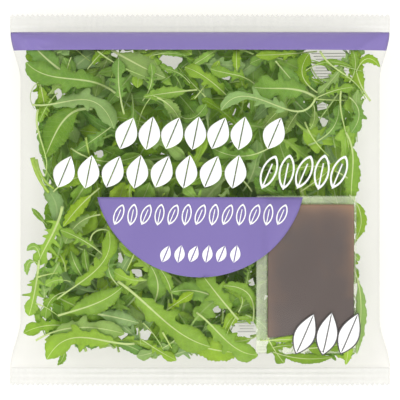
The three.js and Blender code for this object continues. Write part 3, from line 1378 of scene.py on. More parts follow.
class HeapTop:
    """The height of the heap so far, over a fine table of places."""

    def __init__(self, half: float = 110.0, cell: float = 1.0) -> None:
        """Start with nothing in the bag.

        Args:
            half: half the table's side.
            cell: the spacing of its places.
        """
        self.half, self.cell = half, cell
        side = int(2 * half / cell) + 1
        self.height = np.zeros((side, side))
        self.layers = np.zeros((side, side), int)

    def cells(self, x: Points, y: Points) -> tuple[Points, Points]:
        """Find places in the table.

        Args:
            x: places across the bag.
            y: places along it.

        Returns:
            The row and the column of each.
        """
        last = self.height.shape[0] - 1
        column = np.clip(np.rint((x + self.half) / self.cell), 0, last).astype(int)
        row = np.clip(np.rint((y + self.half) / self.cell), 0, last).astype(int)
        return row, column

    def read(self, x: Points, y: Points) -> Points:
        """The heap's height at each place."""
        return self.height[self.cells(x, y)]

    def raise_to(self, x: Points, y: Points, z: Points) -> None:
        """Raise the heap where a leaf lies above it, and count the leaf.

        Args:
            x: the leaf's places across the bag.
            y: its places along it.
            z: the heights of its upper face.
        """
        np.maximum.at(self.height, self.cells(x, y), z)
        under = np.zeros(self.layers.shape, bool)
        under[self.cells(x, y)] = True
        self.layers += under

    def thinness(self, x: Points, y: Points) -> float:
        """How thinly these places are covered, from 1 where nothing lies to 0 under many leaves."""
        return float((0.35 ** self.layers[self.cells(x, y)]).mean())

    def envelope(self, reach: int, rounds: int) -> Points:
        """A soft cover that lies on the heap's high places.

        Args:
            reach: how many cells a high place holds the cover up round it.
            rounds: how often the cover is smoothed.

        Returns:
            The cover's height over the table.
        """
        cover = self.height.copy()
        for _ in range(reach):
            grown = cover.copy()
            for axis in (0, 1):
                for step in (1, -1):
                    grown = np.maximum(grown, np.roll(cover, step, axis))
            cover = grown
        for _ in range(rounds):
            cover = (cover + sum(np.roll(cover, step, axis) for axis in (0, 1) for step in (1, -1))) / 5
        return cover


def refine(table: Points, down: int, across: int) -> Points:
    """Add places between a table's rows and columns, linear between them.

    Args:
        table: the coarse table.
        down: steps for each row.
        across: steps for each column.

    Returns:
        The fine table.
    """
    for axis, steps in ((0, down), (1, across)):
        count = table.shape[axis] - 1
        place = np.linspace(0, count, count * steps + 1)
        low = np.minimum(place.astype(int), count - 1)
        part = (place - low).reshape((-1, 1) if axis == 0 else (1, -1))
        table = np.take(table, low, axis) * (1 - part) + np.take(table, low + 1, axis) * part
    return table


@dataclass
class PlacedLeaf:
    """A leaf once it lies in the heap: its grid of places and its heights in the loose heap."""

    leaf: Leaf
    x: Points
    y: Points
    z: Points


@dataclass
class LeafHeap:
    """The loose heap of rocket leaves, laid leaf by leaf and then fitted between the films.

    The outline goes round the heap. An opening is a place and a radius where no leaf of the body
    lies, so that the back film shows.
    """

    form: BagForm
    height: SampledHeight
    seed: int = 24
    large: int = 150
    small: int = 150
    patches: int = 150
    large_reach: Place = (26.0, 46.0)
    small_reach: Place = (13.0, 24.0)
    patch_reach: Place = (9.0, 18.0)
    tries: int = 120
    choices: int = 8
    stiffness: float = 0.3
    gap: float = 0.7
    clear: float = 0.9
    floor_clear: float = 0.8
    least_cover: float = 0.45
    cover_reach: int = 6
    cover_rounds: int = 14
    above_depth: float = 0.5
    above_step: float = 0.35
    fine_rows: int = 2
    fine_columns: int = 4
    spine_rounds: int = 6
    steepest_fold: float = 70.0
    kind_shares: tuple[float, ...] = (0.27, 0.24, 0.23, 0.2, 0.06)
    middles_x: Place = (-90, 88)
    middles_y: Place = (-86, 90)
    outline: tuple[Place, ...] = (
        (-96, 91), (-97, 78), (-95, 70), (-91, 65), (-94, 58), (-92, 45), (-89, 33), (-88, 26), (-86, 3),
        (-87, -12), (-92, -30), (-92, -60), (-94, -70), (-84, -78), (-76, -88), (-50, -81), (-28, -88),
        (10, -86), (30, -84), (36, -86), (82, -89), (87, -84), (89.5, -70), (89, -44), (87, -36), (86, -20),
        (88, -10), (85, 2), (85, 20), (88, 36), (91, 46), (91, 60), (90, 91),
    )
    openings: tuple[tuple[float, float, float], ...] = (
        (-78, 58.7, 1.8), (-92, 57, 1.6), (-19, 77.5, 2.4), (-12.5, 77, 1.6), (-42.5, 80, 1.5),
        (68, 70.5, 2.2), (73, 79, 3.0), (81, 71, 1.2), (67.7, 52, 1.8), (68.6, 43, 1.5), (-56, 25, 1.6),
        (-86, -19.8, 2.4), (-81, -19.8, 1.8), (-85.6, -31, 2.4), (-44, -31.6, 2.0), (-88, -56.5, 2.0),
        (-34, -40.3, 1.6), (-90.7, -74.8, 1.6), (-43.5, -74.8, 1.6), (-30.5, -74.5, 2.2),
        (24, -71.5, 4.0), (28.5, -80, 3.2), (13, 68.5, 1.6), (28.4, -45.3, 1.3), (-71, -82, 1.6),
        (9.4, -60.8, 1.2), (-15.5, 74.5, 2.0), (64, 80, 3.2), (71, 80.5, 3.4), (67, 70.5, 2.8),
        (77, 81, 2.4), (35, -80.5, 2.4), (50, -80, 2.2), (57, -80.5, 2.2), (20.5, -72, 2.6),
        (29, -70.5, 2.2), (86.5, -26, 1.6), (86, -47, 1.6),
    )

    def __post_init__(self) -> None:
        """Start an empty heap."""
        self.top = HeapTop()
        self.placed: list[PlacedLeaf] = []
        self.draw = np.random.default_rng(self.seed)
        self.flats = {
            (kind, i): shape.flat() for kind, shapes in LEAF_SHAPES.items() for i, shape in enumerate(shapes)
        }
        axis = np.arange(self.top.height.shape[0]) * self.top.cell - self.top.half
        self.cell_x, self.cell_y = np.meshgrid(axis, axis)
        self.wanted = self.inside(self.cell_x, self.cell_y)
        for x, y, size in self.openings:
            self.wanted &= np.hypot(self.cell_x - x, self.cell_y - y) > size

    def inside(self, x: Points, y: Points) -> Points:
        """Test places against the heap's outline.

        Args:
            x: places across the bag.
            y: places along it.

        Returns:
            Which of them lie inside it.
        """
        crossings = np.zeros(x.shape, int)
        for (ax, ay), (bx, by) in zip(self.outline, self.outline[1:] + self.outline[:1]):
            between = (ay > y) != (by > y)
            rise = by - ay if by != ay else 1.0
            crossings += between & (x < ax + (y - ay) * (bx - ax) / rise)
        return crossings % 2 == 1

    def plan(self, leaf: Leaf) -> tuple[Points, Points, Points]:
        """Bend a flat leaf along its spine.

        Args:
            leaf: the leaf's place and bends.

        Returns:
            Tables of x, y and the height of the blade over its midrib.
        """
        across, along, _ = self.flats[leaf.kind, leaf.shape]
        places = np.array(leaf.spine, float)
        run = np.concatenate([[0], np.cumsum(np.hypot(*np.diff(places, axis=0).T))])
        curve = np.polyfit(run / run[-1], places, len(places) - 1)
        path = sum(power * np.linspace(0, 1, 60)[:, None] ** i for i, power in enumerate(curve[::-1]))
        steps = np.hypot(*np.diff(path, axis=0).T)
        arc = np.concatenate([[0], np.cumsum(steps)]) / steps.sum()
        ahead = np.gradient(path, axis=0)
        ahead /= np.hypot(*ahead.T)[:, None]
        share = along / LEAF_SHAPES[leaf.kind][leaf.shape].length
        centre_x, centre_y = (np.interp(share, arc, path[:, i]) for i in (0, 1))
        ahead_x, ahead_y = (np.interp(share, arc, ahead[:, i]) for i in (0, 1))
        # Past the last place of the spine, a leaning tooth goes straight on.
        past = np.maximum(share - 1, 0) * steps.sum()
        centre_x, centre_y = centre_x + past * ahead_x, centre_y + past * ahead_y
        # A shorter leaf is narrower too, though not by as much.
        wide = np.abs(across) * leaf.width * (steps.sum() / LEAF_SHAPES[leaf.kind][leaf.shape].length) ** 0.5
        most = wide.max()
        sides = np.where(across < 0, leaf.fold[0] + leaf.twist * share, leaf.fold[1] - leaf.twist * share)
        fold = np.radians(np.clip(sides, -self.steepest_fold, self.steepest_fold))
        # The two halves ripple out of step, most at their edges, and the leaf arches over its length.
        wave = np.sin(2 * math.pi * (along / 19 + leaf.phase) + (across < 0) * 1.9)
        lateral = np.sign(across) * wide * np.cos(fold)
        rise = wide * np.sin(fold) + leaf.ripple * wave * (wide / most) ** 1.5
        rise += leaf.arch * np.sin(math.pi * np.clip(share, 0, 1)) ** 2
        return centre_x - ahead_y * lateral, centre_y + ahead_x * lateral, rise

    def settle(self, leaf: Leaf) -> None:
        """Lay one leaf on the heap so that it crosses nothing below it, and raise the heap by it.

        Args:
            leaf: the leaf.
        """
        x, y, rise = self.plan(leaf)
        _, along, half_thickness = self.flats[leaf.kind, leaf.shape]
        tables = (x, y, rise, along, half_thickness)
        fine = (refine(table, self.fine_rows, self.fine_columns) for table in tables)
        fx, fy, frise, falong, fthick = fine
        below = self.top.read(fx, fy) + self.gap + fthick
        need = (below - frise).max(axis=1)
        # The spine can't bend sharply: what holds it up at one place holds it up nearby too.
        place = falong[:, falong.shape[1] // 2]
        reach = need[None, :] - self.stiffness * np.abs(place[:, None] - place[None, :])
        spine = reach.max(axis=1)
        for _ in range(self.spine_rounds):
            soft = np.convolve(np.pad(spine, 2, mode="edge"), np.full(5, 0.2), mode="valid")
            spine = soft + max((spine - soft).max() * 0.5, 0)
        spine += max((need - spine).max(), 0) * 0.6
        z = np.maximum(frise + spine[:, None], below)
        self.top.raise_to(fx, fy, z + fthick)
        self.placed.append(PlacedLeaf(leaf, x, y, z[::self.fine_rows, ::self.fine_columns]))

    def random_leaf(self, reach: Place, bare: Points | None = None) -> Leaf:
        """Draw a leaf for the body of the heap.

        Args:
            reach: the least and the greatest distance from its middle to its tip.
            bare: places of which its middle is one, or none where it may lie anywhere.

        Returns:
            The leaf.
        """
        kind = tuple(LeafKind)[self.draw.choice(len(LeafKind), p=self.kind_shares)]
        if reach == self.large_reach or kind is LeafKind.STALK:
            shape = int(self.draw.integers(2))
        else:
            shape = 2
        middle = np.array([self.draw.uniform(*self.middles_x), self.draw.uniform(*self.middles_y)])
        if bare is not None:
            middle = bare[self.draw.integers(len(bare))] + self.draw.normal(0, 2, 2)
        turn = self.draw.uniform(0, 2 * math.pi)
        half = self.draw.uniform(*reach) * np.array([math.cos(turn), math.sin(turn)])
        bow = self.draw.normal(0, 0.2) * np.array([-half[1], half[0]])
        spine = tuple((float(p[0]), float(p[1])) for p in (middle - half, middle + bow, middle + half))
        fold = tuple(float(angle) for angle in self.draw.normal(12, 16, 2))
        return Leaf(
            kind, spine, width=float(self.draw.uniform(0.75, 1.15)), tone=float(self.draw.uniform(0.05, 0.9)),
            fold=fold, shape=shape, turned=bool(self.draw.random() < 0.3),
            ripple=float(self.draw.uniform(0.4, 1.8)), phase=float(self.draw.random()),
            arch=float(self.draw.uniform(0, 3)), twist=float(self.draw.normal(0, 22)),
            rib=float(self.draw.uniform(0.15, 0.6)),
        )

    def fits(self, leaf: Leaf) -> bool:
        """Test a leaf against the heap's outline and openings.

        Args:
            leaf: the leaf.

        Returns:
            Whether it stays inside the one and off the others.
        """
        x, y, _ = self.plan(leaf)
        if self.inside(x, y).mean() < 0.98:
            return False
        x, y = refine(x, 1, 3), refine(y, 1, 3)
        return all((np.hypot(x - ox, y - oy) > size).all() for ox, oy, size in self.openings)

    def best_leaf(self, reach: Place, bare: Points | None = None) -> Leaf | None:
        """Draw leaves until enough of them fit, and take the one that covers most of what is bare.

        Args:
            reach: the least and the greatest distance from a leaf's middle to its tip.
            bare: places of which its middle is one, or none where it may lie anywhere.

        Returns:
            The leaf, or none where no leaf fitted.
        """
        fitting = []
        for _ in range(self.tries):
            leaf = self.random_leaf(reach, bare)
            if self.fits(leaf):
                fitting.append(leaf)
            if len(fitting) == self.choices:
                break
        return max(fitting, key=lambda leaf: self.top.thinness(*self.plan(leaf)[:2]), default=None)

    def lay_filler(self) -> None:
        """Lay the body of the heap, each leaf where it covers most of what is bare."""
        for reach in [self.large_reach] * self.large + [self.small_reach] * self.small:
            leaf = self.best_leaf(reach)
            if leaf:
                self.settle(leaf)
        self.lay_patches()
        log.info("body of the heap: %d leaves", len(self.placed))

    def lay_patches(self) -> None:
        """Lay small leaves where neither the body of the heap nor the front leaves cover the floor."""
        covered = self.top.layers > 0
        for leaf in front_leaves():
            x, y, _ = self.plan(leaf)
            fine = (refine(table, self.fine_rows, self.fine_columns) for table in (x, y))
            covered[self.top.cells(*fine)] = True
        for _ in range(self.patches):
            bare = np.stack([table[self.wanted & ~covered] for table in (self.cell_x, self.cell_y)], axis=1)
            if not len(bare):
                break
            leaf = self.best_leaf(self.patch_reach, bare)
            if leaf:
                self.settle(leaf)
                covered |= self.top.layers > 0

    def fit_between_films(self) -> None:
        """Spread the loose heap's heights over the room between the back and the front film."""
        log.info("loose heap: %.0f mm high", self.top.height.max())
        cover = self.top.envelope(self.cover_reach, self.cover_rounds)
        cover = np.maximum(cover, self.least_cover * cover.max())
        sachet_room = Sachet(self.form, self.height).room
        depth = self.above_depth + self.above_step * sum(one.leaf.above for one in self.placed)
        for one in self.placed:
            half = self.flats[one.leaf.kind, one.leaf.shape][2]
            surface = self.height(one.x.ravel(), one.y.ravel()).reshape(one.x.shape)
            if one.leaf.above:
                # These lie close under the front film, one over the other, with the sachet below.
                depth -= self.above_step
                one.z = surface - depth - half
                continue
            low = self.form.back(one.x, one.y) + self.floor_clear + half
            high = surface - self.clear - half - sachet_room(one.x, one.y)
            share = np.clip(one.z / cover[self.top.cells(one.x, one.y)], 0, 1)
            one.z = low + (np.maximum(high, low) - low) * share

    def model(self, kind: LeafKind, number: int) -> bpy.types.Object:
        """Model the flat leaf that every leaf of its shape is copied from.

        Args:
            kind: the kind of leaf.
            number: which shape of that kind.

        Returns:
            A thin closed leaf with its map, lying flat.
        """
        shape = LEAF_SHAPES[kind][number]
        across, along, _ = self.flats[kind, number]
        leaf = add_grid("flat_leaf", across.shape[1] - 1, across.shape[0] - 1)
        write_points(leaf, across.ravel(), along.ravel(), np.zeros(across.size))
        places = leaf.data.uv_layers[0]
        places.name = LEAF_MAP
        corners = np.empty(len(leaf.data.loops), np.int32)
        leaf.data.loops.foreach_get("vertex_index", corners)
        chart = np.stack([across.ravel() / 10, along.ravel() / shape.length], axis=1)[corners]
        places.data.foreach_set("uv", chart.astype(np.float32).ravel())
        apply_modifier(leaf, "SOLIDIFY", thickness=shape.thickness * MM, offset=0.0)
        return leaf

    def copy_leaf(self, model: bpy.types.Object, one: PlacedLeaf) -> bpy.types.Object:
        """Copy a flat leaf and bend the copy to its place in the heap.

        Args:
            model: the flat leaf.
            one: where the copy lies.

        Returns:
            The copy, with a mesh of its own.
        """
        half = self.flats[one.leaf.kind, one.leaf.shape][2].ravel()
        copy = model.copy()
        copy.data = model.data.copy()
        bpy.context.scene.collection.objects.link(copy)
        x, y, z = one.x.ravel(), one.y.ravel(), one.z.ravel()
        # A modelled leaf has its upper face's vertices first and then its lower face's.
        write_points(copy, np.tile(x, 2), np.tile(y, 2), np.concatenate([z + half, z - half]))
        lower = np.repeat([0.0, 1.0], half.size)
        add_values(copy, "tone", np.full(2 * half.size, one.leaf.tone))
        add_values(copy, "under", 1 - lower if one.leaf.turned else lower)
        add_values(copy, "rib", np.full(2 * half.size, one.leaf.rib))
        return copy

    def build(self) -> None:
        """Lay the heap, fit it and build one piece for each kind of leaf."""
        self.lay_filler()
        for leaf in front_leaves():
            self.settle(leaf)
        self.fit_between_films()
        material = RocketLeaf().material()
        for kind in LeafKind:
            copies = []
            for number in range(len(LEAF_SHAPES[kind])):
                model = self.model(kind, number)
                mine = [one for one in self.placed if (one.leaf.kind, one.leaf.shape) == (kind, number)]
                copies += [self.copy_leaf(model, one) for one in mine]
                bpy.data.objects.remove(model)
            if copies:
                finish(join(copies, kind.value), material)


def front_leaves() -> list[Leaf]:
    """The leaves that show at the front, from the lowest to the highest.

    Returns:
        Their places, in millimetres from the bag's middle.
    """
    rocket, fine, oak, broad, stalk = LeafKind
    return [
        # Upper left
        Leaf(broad, ((-70, 67), (-83, 76.5), (-96.5, 90.5)), 1.6, 0.24),
        Leaf(broad, ((-88.5, 67), (-86.5, 57), (-84, 46.5)), 1.1, 0.6),
        Leaf(broad, ((-50, 83.5), (-35.5, 75), (-19, 67)), 1.35, 0.3, (4, 16), shape=0, turned=True),
        Leaf(oak, ((-62, 72), (-56.5, 78.5), (-49, 85)), 0.9, 0.3),
        Leaf(stalk, ((-56.5, 82), (-45.5, 74.5), (-30, 67.5)), 0.9, 0.7),
        Leaf(stalk, ((-69.5, 84), (-65.5, 80.5), (-60.5, 76.5)), 1.1, 0.85),
        Leaf(broad, ((-71, 78.5), (-73, 72), (-73, 64.5)), 1.0, 0.45),
        Leaf(oak, ((-44.5, 56.5), (-54.5, 63.5), (-79, 67.5), (-96, 76)), 1.05, 0.29, (8, 18)),
        Leaf(stalk, ((-89, 65), (-93.5, 58), (-91, 50)), 0.7, 0.2),
        Leaf(fine, ((-78.5, 59), (-85, 50), (-88.5, 42.5)), 0.9, 0.5, shape=0),
        Leaf(rocket, ((-41.5, 47), (-44, 59), (-44.5, 77.5)), 1.15, 0.35, (4, 12), shape=0),
        Leaf(rocket, ((-44.5, 43.5), (-55.5, 35), (-67.5, 27)), 0.9, 0.35, shape=0),
        Leaf(broad, ((-59, 50), (-70.5, 47.5), (-78.5, 38), (-85.5, 23)), 1.4, 0.2, (2, 12), shape=0),
        Leaf(oak, ((-92.5, 52.5), (-79, 53), (-66.5, 55), (-47, 39)), 0.8, 0.45, (12, 4), turned=True),
        Leaf(stalk, ((-89, 50), (-89.5, 40.5), (-86, 28.5), (-85, 13)), 1.2, 0.8),
        Leaf(stalk, ((-92.5, 23.5), (-89.5, 14), (-83, 4)), 3.4, 0.95, rib=0.35),
        Leaf(stalk, ((-90.5, 22.5), (-87, 13), (-80, 6)), 2.6, 0.9, rib=0.35),
        Leaf(stalk, ((-62.6, 34.3), (-61.5, 29), (-60.4, 23.5)), 2.4, 0.95, rib=0.5),
        # Upper middle
        Leaf(rocket, ((-31.5, 54.5), (-27, 63), (-27, 75)), 0.9, 0.4, shape=0),
        Leaf(broad, ((3, 56.5), (-5.5, 65.5), (-12, 73)), 1.0, 0.25),
        Leaf(broad, ((-1.5, 60.5), (-15, 59), (-31, 56.5)), 1.1, 0.64, (16, 0)),
        Leaf(oak, ((-15, 50), (-6.5, 44.5), (3.5, 52.5)), 0.8, 0.4),
        Leaf(stalk, ((-25.5, 57), (-20, 55.5), (-14, 54.5)), 1.0, 0.85),
        Leaf(stalk, ((-27, 56), (-31, 50), (-34, 39)), 0.8, 0.9),
        Leaf(broad, ((-23.5, 56), (-17, 52), (-11, 43.5)), 1.25, 0.6, turned=True),
        Leaf(rocket, ((-5.5, 64), (-12, 69.7), (-19.5, 72)), 0.8, 0.4, shape=0),
        Leaf(broad, ((-26, 79.5), (-16.5, 80.6), (-7, 79)), 0.6, 0.4),
        Leaf(broad, ((-8.5, 71.5), (0, 76.5), (9.5, 83)), 0.9, 0.7),
        Leaf(rocket, ((-3, 55.5), (4.5, 65.5), (10.5, 76.5)), 0.8, 0.6, shape=0),
        Leaf(oak, ((21, 52.5), (12, 60), (4, 66.5), (-8.5, 73)), 0.85, 0.55, (16, 2), shape=0),
        Leaf(broad, ((21, 66.5), (20, 75), (20.5, 85)), 0.9, 0.6),
        # Upper right
        Leaf(oak, ((48, 76.5), (39.5, 78.5), (27.5, 75)), 0.9, 0.4, shape=0),
        Leaf(rocket, ((64.5, 82), (49.5, 80.5), (30.5, 79.5)), 0.8, 0.6),
        Leaf(oak, ((64.5, 59), (56, 70), (60, 80.5)), 0.9, 0.3),
        Leaf(broad, ((41.5, 76.5), (48, 68.5), (55, 60)), 1.1, 0.35, shape=0),
        Leaf(rocket, ((32, 62), (26, 66.5), (17.5, 69), (5.5, 72)), 0.95, 0.5, (14, 4)),
        Leaf(oak, ((34, 55.5), (22, 59), (14.5, 55.5)), 0.8, 0.35, shape=0),
        Leaf(oak, ((64.5, 55.5), (56.5, 59.5), (46, 61), (29, 62)), 1.4, 0.4, (2, 16)),
        Leaf(broad, ((94, 54.5), (87, 67.5), (86.5, 86)), 1.1, 0.6, (4, 14)),
        Leaf(broad, ((82, 64.5), (85.5, 73), (83, 85)), 0.9, 0.5),
        Leaf(broad, ((58, 71), (68, 75.5), (84, 73)), 0.55, 0.5),
        Leaf(broad, ((86, 70.5), (93, 78), (99.5, 73.5)), 0.9, 0.6),
        Leaf(oak, ((82, 56.5), (87, 50), (83, 37)), 0.9, 0.35),
        Leaf(oak, ((64.5, 32.5), (73.5, 40.5), (76.5, 52.5)), 0.9, 0.35, shape=0),
        Leaf(rocket, ((63, 55.5), (72, 59.5), (84, 62)), 0.95, 0.5, (12, 4), shape=0),
        Leaf(stalk, ((63, 55.5), (71.5, 55), (81.5, 55)), 1.0, 0.9),
        Leaf(broad, ((55, 49.5), (50.5, 43.5), (46.5, 36)), 1.1, 0.65, turned=True),
        Leaf(broad, ((46, 52), (39.5, 45.5), (34, 39)), 1.0, 0.65, turned=True),
        Leaf(broad, ((62.5, 52.5), (63, 45.5), (60, 38.5)), 1.0, 0.65, turned=True),
        Leaf(fine, ((63.5, 56), (57, 49), (39.5, 52.5), (11.5, 49)), 0.9, 0.7, (0, 8), turned=True),
        Leaf(stalk, ((57.5, 43), (62, 33.5), (71, 24)), 1.3, 0.9),
        Leaf(stalk, ((66, 82), (75, 72), (85, 64.5), (91, 55.5)), 1.1, 0.75),
        Leaf(stalk, ((77, 74), (83, 72.5), (91, 70.5)), 0.8, 0.7),
        Leaf(stalk, ((77.5, 60), (77.5, 48.5), (80, 37), (82, 27)), 1.1, 0.65),
        Leaf(broad, ((80, 37), (84, 24.5), (83.5, 11), (84, -3.5)), 1.1, 0.5, (10, 0)),
        # Middle, seen between the white shapes
        Leaf(rocket, ((-71, 28.5), (-54.5, 21.5), (-32.5, 25)), 0.9, 0.45, shape=0),
        Leaf(rocket, ((-19, 13), (-35.5, 17.5), (-54.5, 9.5)), 0.9, 0.6),
        Leaf(oak, ((39.5, 29.5), (24, 24), (6.5, 28.5)), 0.9, 0.4, shape=0),
        Leaf(rocket, ((81, 12), (63.5, 18.5), (44, 13)), 0.9, 0.5, shape=0),
        Leaf(broad, ((55, 4.5), (65.5, 12), (76.5, 21.5)), 1.0, 0.6),
        Leaf(rocket, ((28.5, 4.5), (16.5, 15), (-5.5, 8.5)), 0.9, 0.5),
        Leaf(broad, ((-80.5, 4.5), (-71, 11), (-59, 13)), 1.0, 0.6, shape=0),
        # Lower left
        Leaf(oak, ((-54.5, -8), (-65.5, -12), (-74, -24)), 1.0, 0.3, turned=True),
        Leaf(fine, ((-75.5, -3.5), (-79, -14.5), (-83, -22.5), (-89.5, -36)), 1.6, 0.8, shape=0),
        Leaf(broad, ((-55, 6.5), (-65.5, -3), (-75, -14.5)), 1.1, 0.65),
        Leaf(broad, ((-88, -31), (-91.5, -25.5), (-95.5, -28)), 0.75, 0.7, shape=2),
        Leaf(broad, ((-84.5, -14), (-89, -9), (-93, -4.5)), 0.55, 0.75, shape=2),
        Leaf(oak, ((-74, -50.5), (-80.5, -53.5), (-85, -65.5)), 0.9, 0.5, shape=0),
        Leaf(oak, ((-44.5, -47), (-50, -37), (-45.5, -26.5)), 0.9, 0.35),
        Leaf(rocket, ((-52, -31), (-61, -24), (-76.5, -16.5)), 0.9, 0.5, (4, 16), shape=0),
        Leaf(broad, ((-88.5, -35), (-93.5, -34), (-95.5, -41.5)), 0.8, 0.7),
        Leaf(fine, ((-88.5, -33), (-90.5, -48), (-94.5, -64)), 1.5, 0.8),
        Leaf(oak, ((-71, -45), (-78.5, -44), (-85, -47)), 0.8, 0.75, shape=0),
        Leaf(stalk, ((-89.5, -42.5), (-84, -41), (-78, -40)), 1.7, 0.95),
        Leaf(broad, ((-62.5, -45), (-67.5, -37), (-71, -28)), 0.8, 0.4, shape=2),
        Leaf(broad, ((-60, -43), (-62.5, -35), (-63.5, -26.5)), 0.7, 0.45, shape=2),
        Leaf(stalk, ((-60, -22.5), (-55.5, -16.5), (-48.5, -17.5), (-46.5, -25)), 1.2, 0.8),
        Leaf(oak, ((-78.5, -54.5), (-64.5, -44.5), (-51, -30.5), (-50, -16.5)), 0.8, 0.55, (2, 14), shape=0),
        Leaf(stalk, ((-90.5, -57), (-84, -59.5), (-77.5, -64.5)), 1.1, 0.85),
        Leaf(stalk, ((-35.5, -28.5), (-38, -34), (-40.5, -39)), 1.9, 0.95),
        Leaf(broad, ((-61, -62), (-48, -64), (-33.5, -67.5)), 1.25, 0.4, (10, -4), turned=True),
        Leaf(broad, ((-78, -63.5), (-68, -60.5), (-55.5, -56), (-42.5, -47.5)), 1.1, 0.5, (8, 6), shape=0),
        Leaf(oak, ((-68.5, -71), (-81.5, -69), (-97.5, -73.5)), 0.85, 0.55),
        Leaf(
            oak, ((-90.5, -77.5), (-78.5, -72), (-60, -70), (-41.5, -73.5)), 0.85, 0.6, (6, 12),
            turned=True,
        ),
        Leaf(broad, ((-75, -81), (-75.5, -86.5), (-79, -91.5)), 0.9, 0.5),
        Leaf(oak, ((-36, -79), (-51, -77.5), (-66, -75.5), (-84.5, -88)), 1.0, 0.685, (14, 4)),
        # Lower middle
        Leaf(broad, ((-26.5, -58.5), (-23, -48.5), (-27, -36)), 1.4, 0.45, (14, 2), shape=0),
        Leaf(broad, ((-15, -57.5), (-17, -46), (-24, -35)), 0.9, 0.5),
        Leaf(oak, ((-12, -75.5), (-21.5, -82), (-35, -86)), 0.85, 0.5, shape=0, turned=True),
        Leaf(rocket, ((-32.5, -76.5), (-24, -82), (-13, -88.5)), 0.9, 0.6),
        Leaf(stalk, ((-34, -70), (-33, -75), (-32.5, -80.5)), 0.9, 0.85),
        Leaf(stalk, ((-31.5, -67.5), (-25, -74.5), (-20, -82.5)), 1.1, 0.8),
        Leaf(broad, ((-11, -75.5), (4.5, -81.5), (23, -84)), 1.3, 0.68, (12, 6), shape=0),
        Leaf(broad, ((16, -59), (3, -51), (-16, -50.5)), 1.1, 0.4, (0, 14), shape=0),
        Leaf(rocket, ((-23, -64), (-13.5, -57), (-3.5, -50.5)), 0.9, 0.65),
        Leaf(oak, ((-45, -44.5), (-29, -57.5), (-13.5, -71), (5.5, -80.5)), 1.1, 0.58, (10, 10)),
        Leaf(stalk, ((-20.5, -72.5), (-18, -77), (-15.5, -81.5)), 2.2, 1.0),
        Leaf(broad, ((32, -74.5), (22, -77.5), (12, -75)), 1.0, 0.85),
        Leaf(oak, ((-2, -61.5), (8, -70.5), (20, -81.5), (32, -85.5)), 1.0, 0.61, (8, 12)),
        Leaf(fine, ((25.5, -50.5), (26, -42.5), (29, -33)), 0.9, 0.7, shape=0),
        Leaf(broad, ((21, -61.5), (23, -53.5), (13.5, -49)), 0.8, 0.55),
        Leaf(broad, ((29, -66.5), (26.5, -51.5), (11, -47)), 1.0, 0.5),
        Leaf(stalk, ((20, -63.5), (17, -68.5), (14.5, -74)), 1.2, 0.8),
        Leaf(oak, ((21, -65.5), (11, -53.5), (-0.5, -38.5)), 1.2, 0.5, (12, 4)),
        # Beside and below the sachet
        Leaf(broad, ((82, 3), (88.5, -8.5), (85.5, -22)), 1.0, 0.6),
        Leaf(broad, ((83, -29.5), (85.5, -31), (87.5, -33.5)), 1.1, 0.7, shape=2),
        Leaf(broad, ((83, -35), (88, -50), (88.5, -66), (86.5, -85)), 0.75, 0.69, turned=True),
        Leaf(oak, ((36.5, -74), (41, -82.5), (46.5, -90)), 0.85, 0.33, (0, 0), shape=2, above=True),
        Leaf(broad, ((40, -83.5), (56, -87.3), (73, -86.5)), 0.62, 0.3, (0, 0), shape=0, above=True),
        Leaf(broad, ((33, -77), (50, -76.3), (68, -75)), 0.42, 0.79, (0, 0), shape=2, above=True),
        Leaf(oak, ((39.5, -81), (45, -80), (51, -79.5)), 0.6, 0.3, (0, 0), shape=2, above=True),
        Leaf(oak, ((55, -81.5), (66, -81), (78, -79)), 0.8, 0.3, (0, 0), shape=2, above=True),
        Leaf(broad, ((81.5, -72), (81.5, -82), (80.5, -91)), 0.95, 0.9, (0, 0), above=True),
    ]


# The sachet


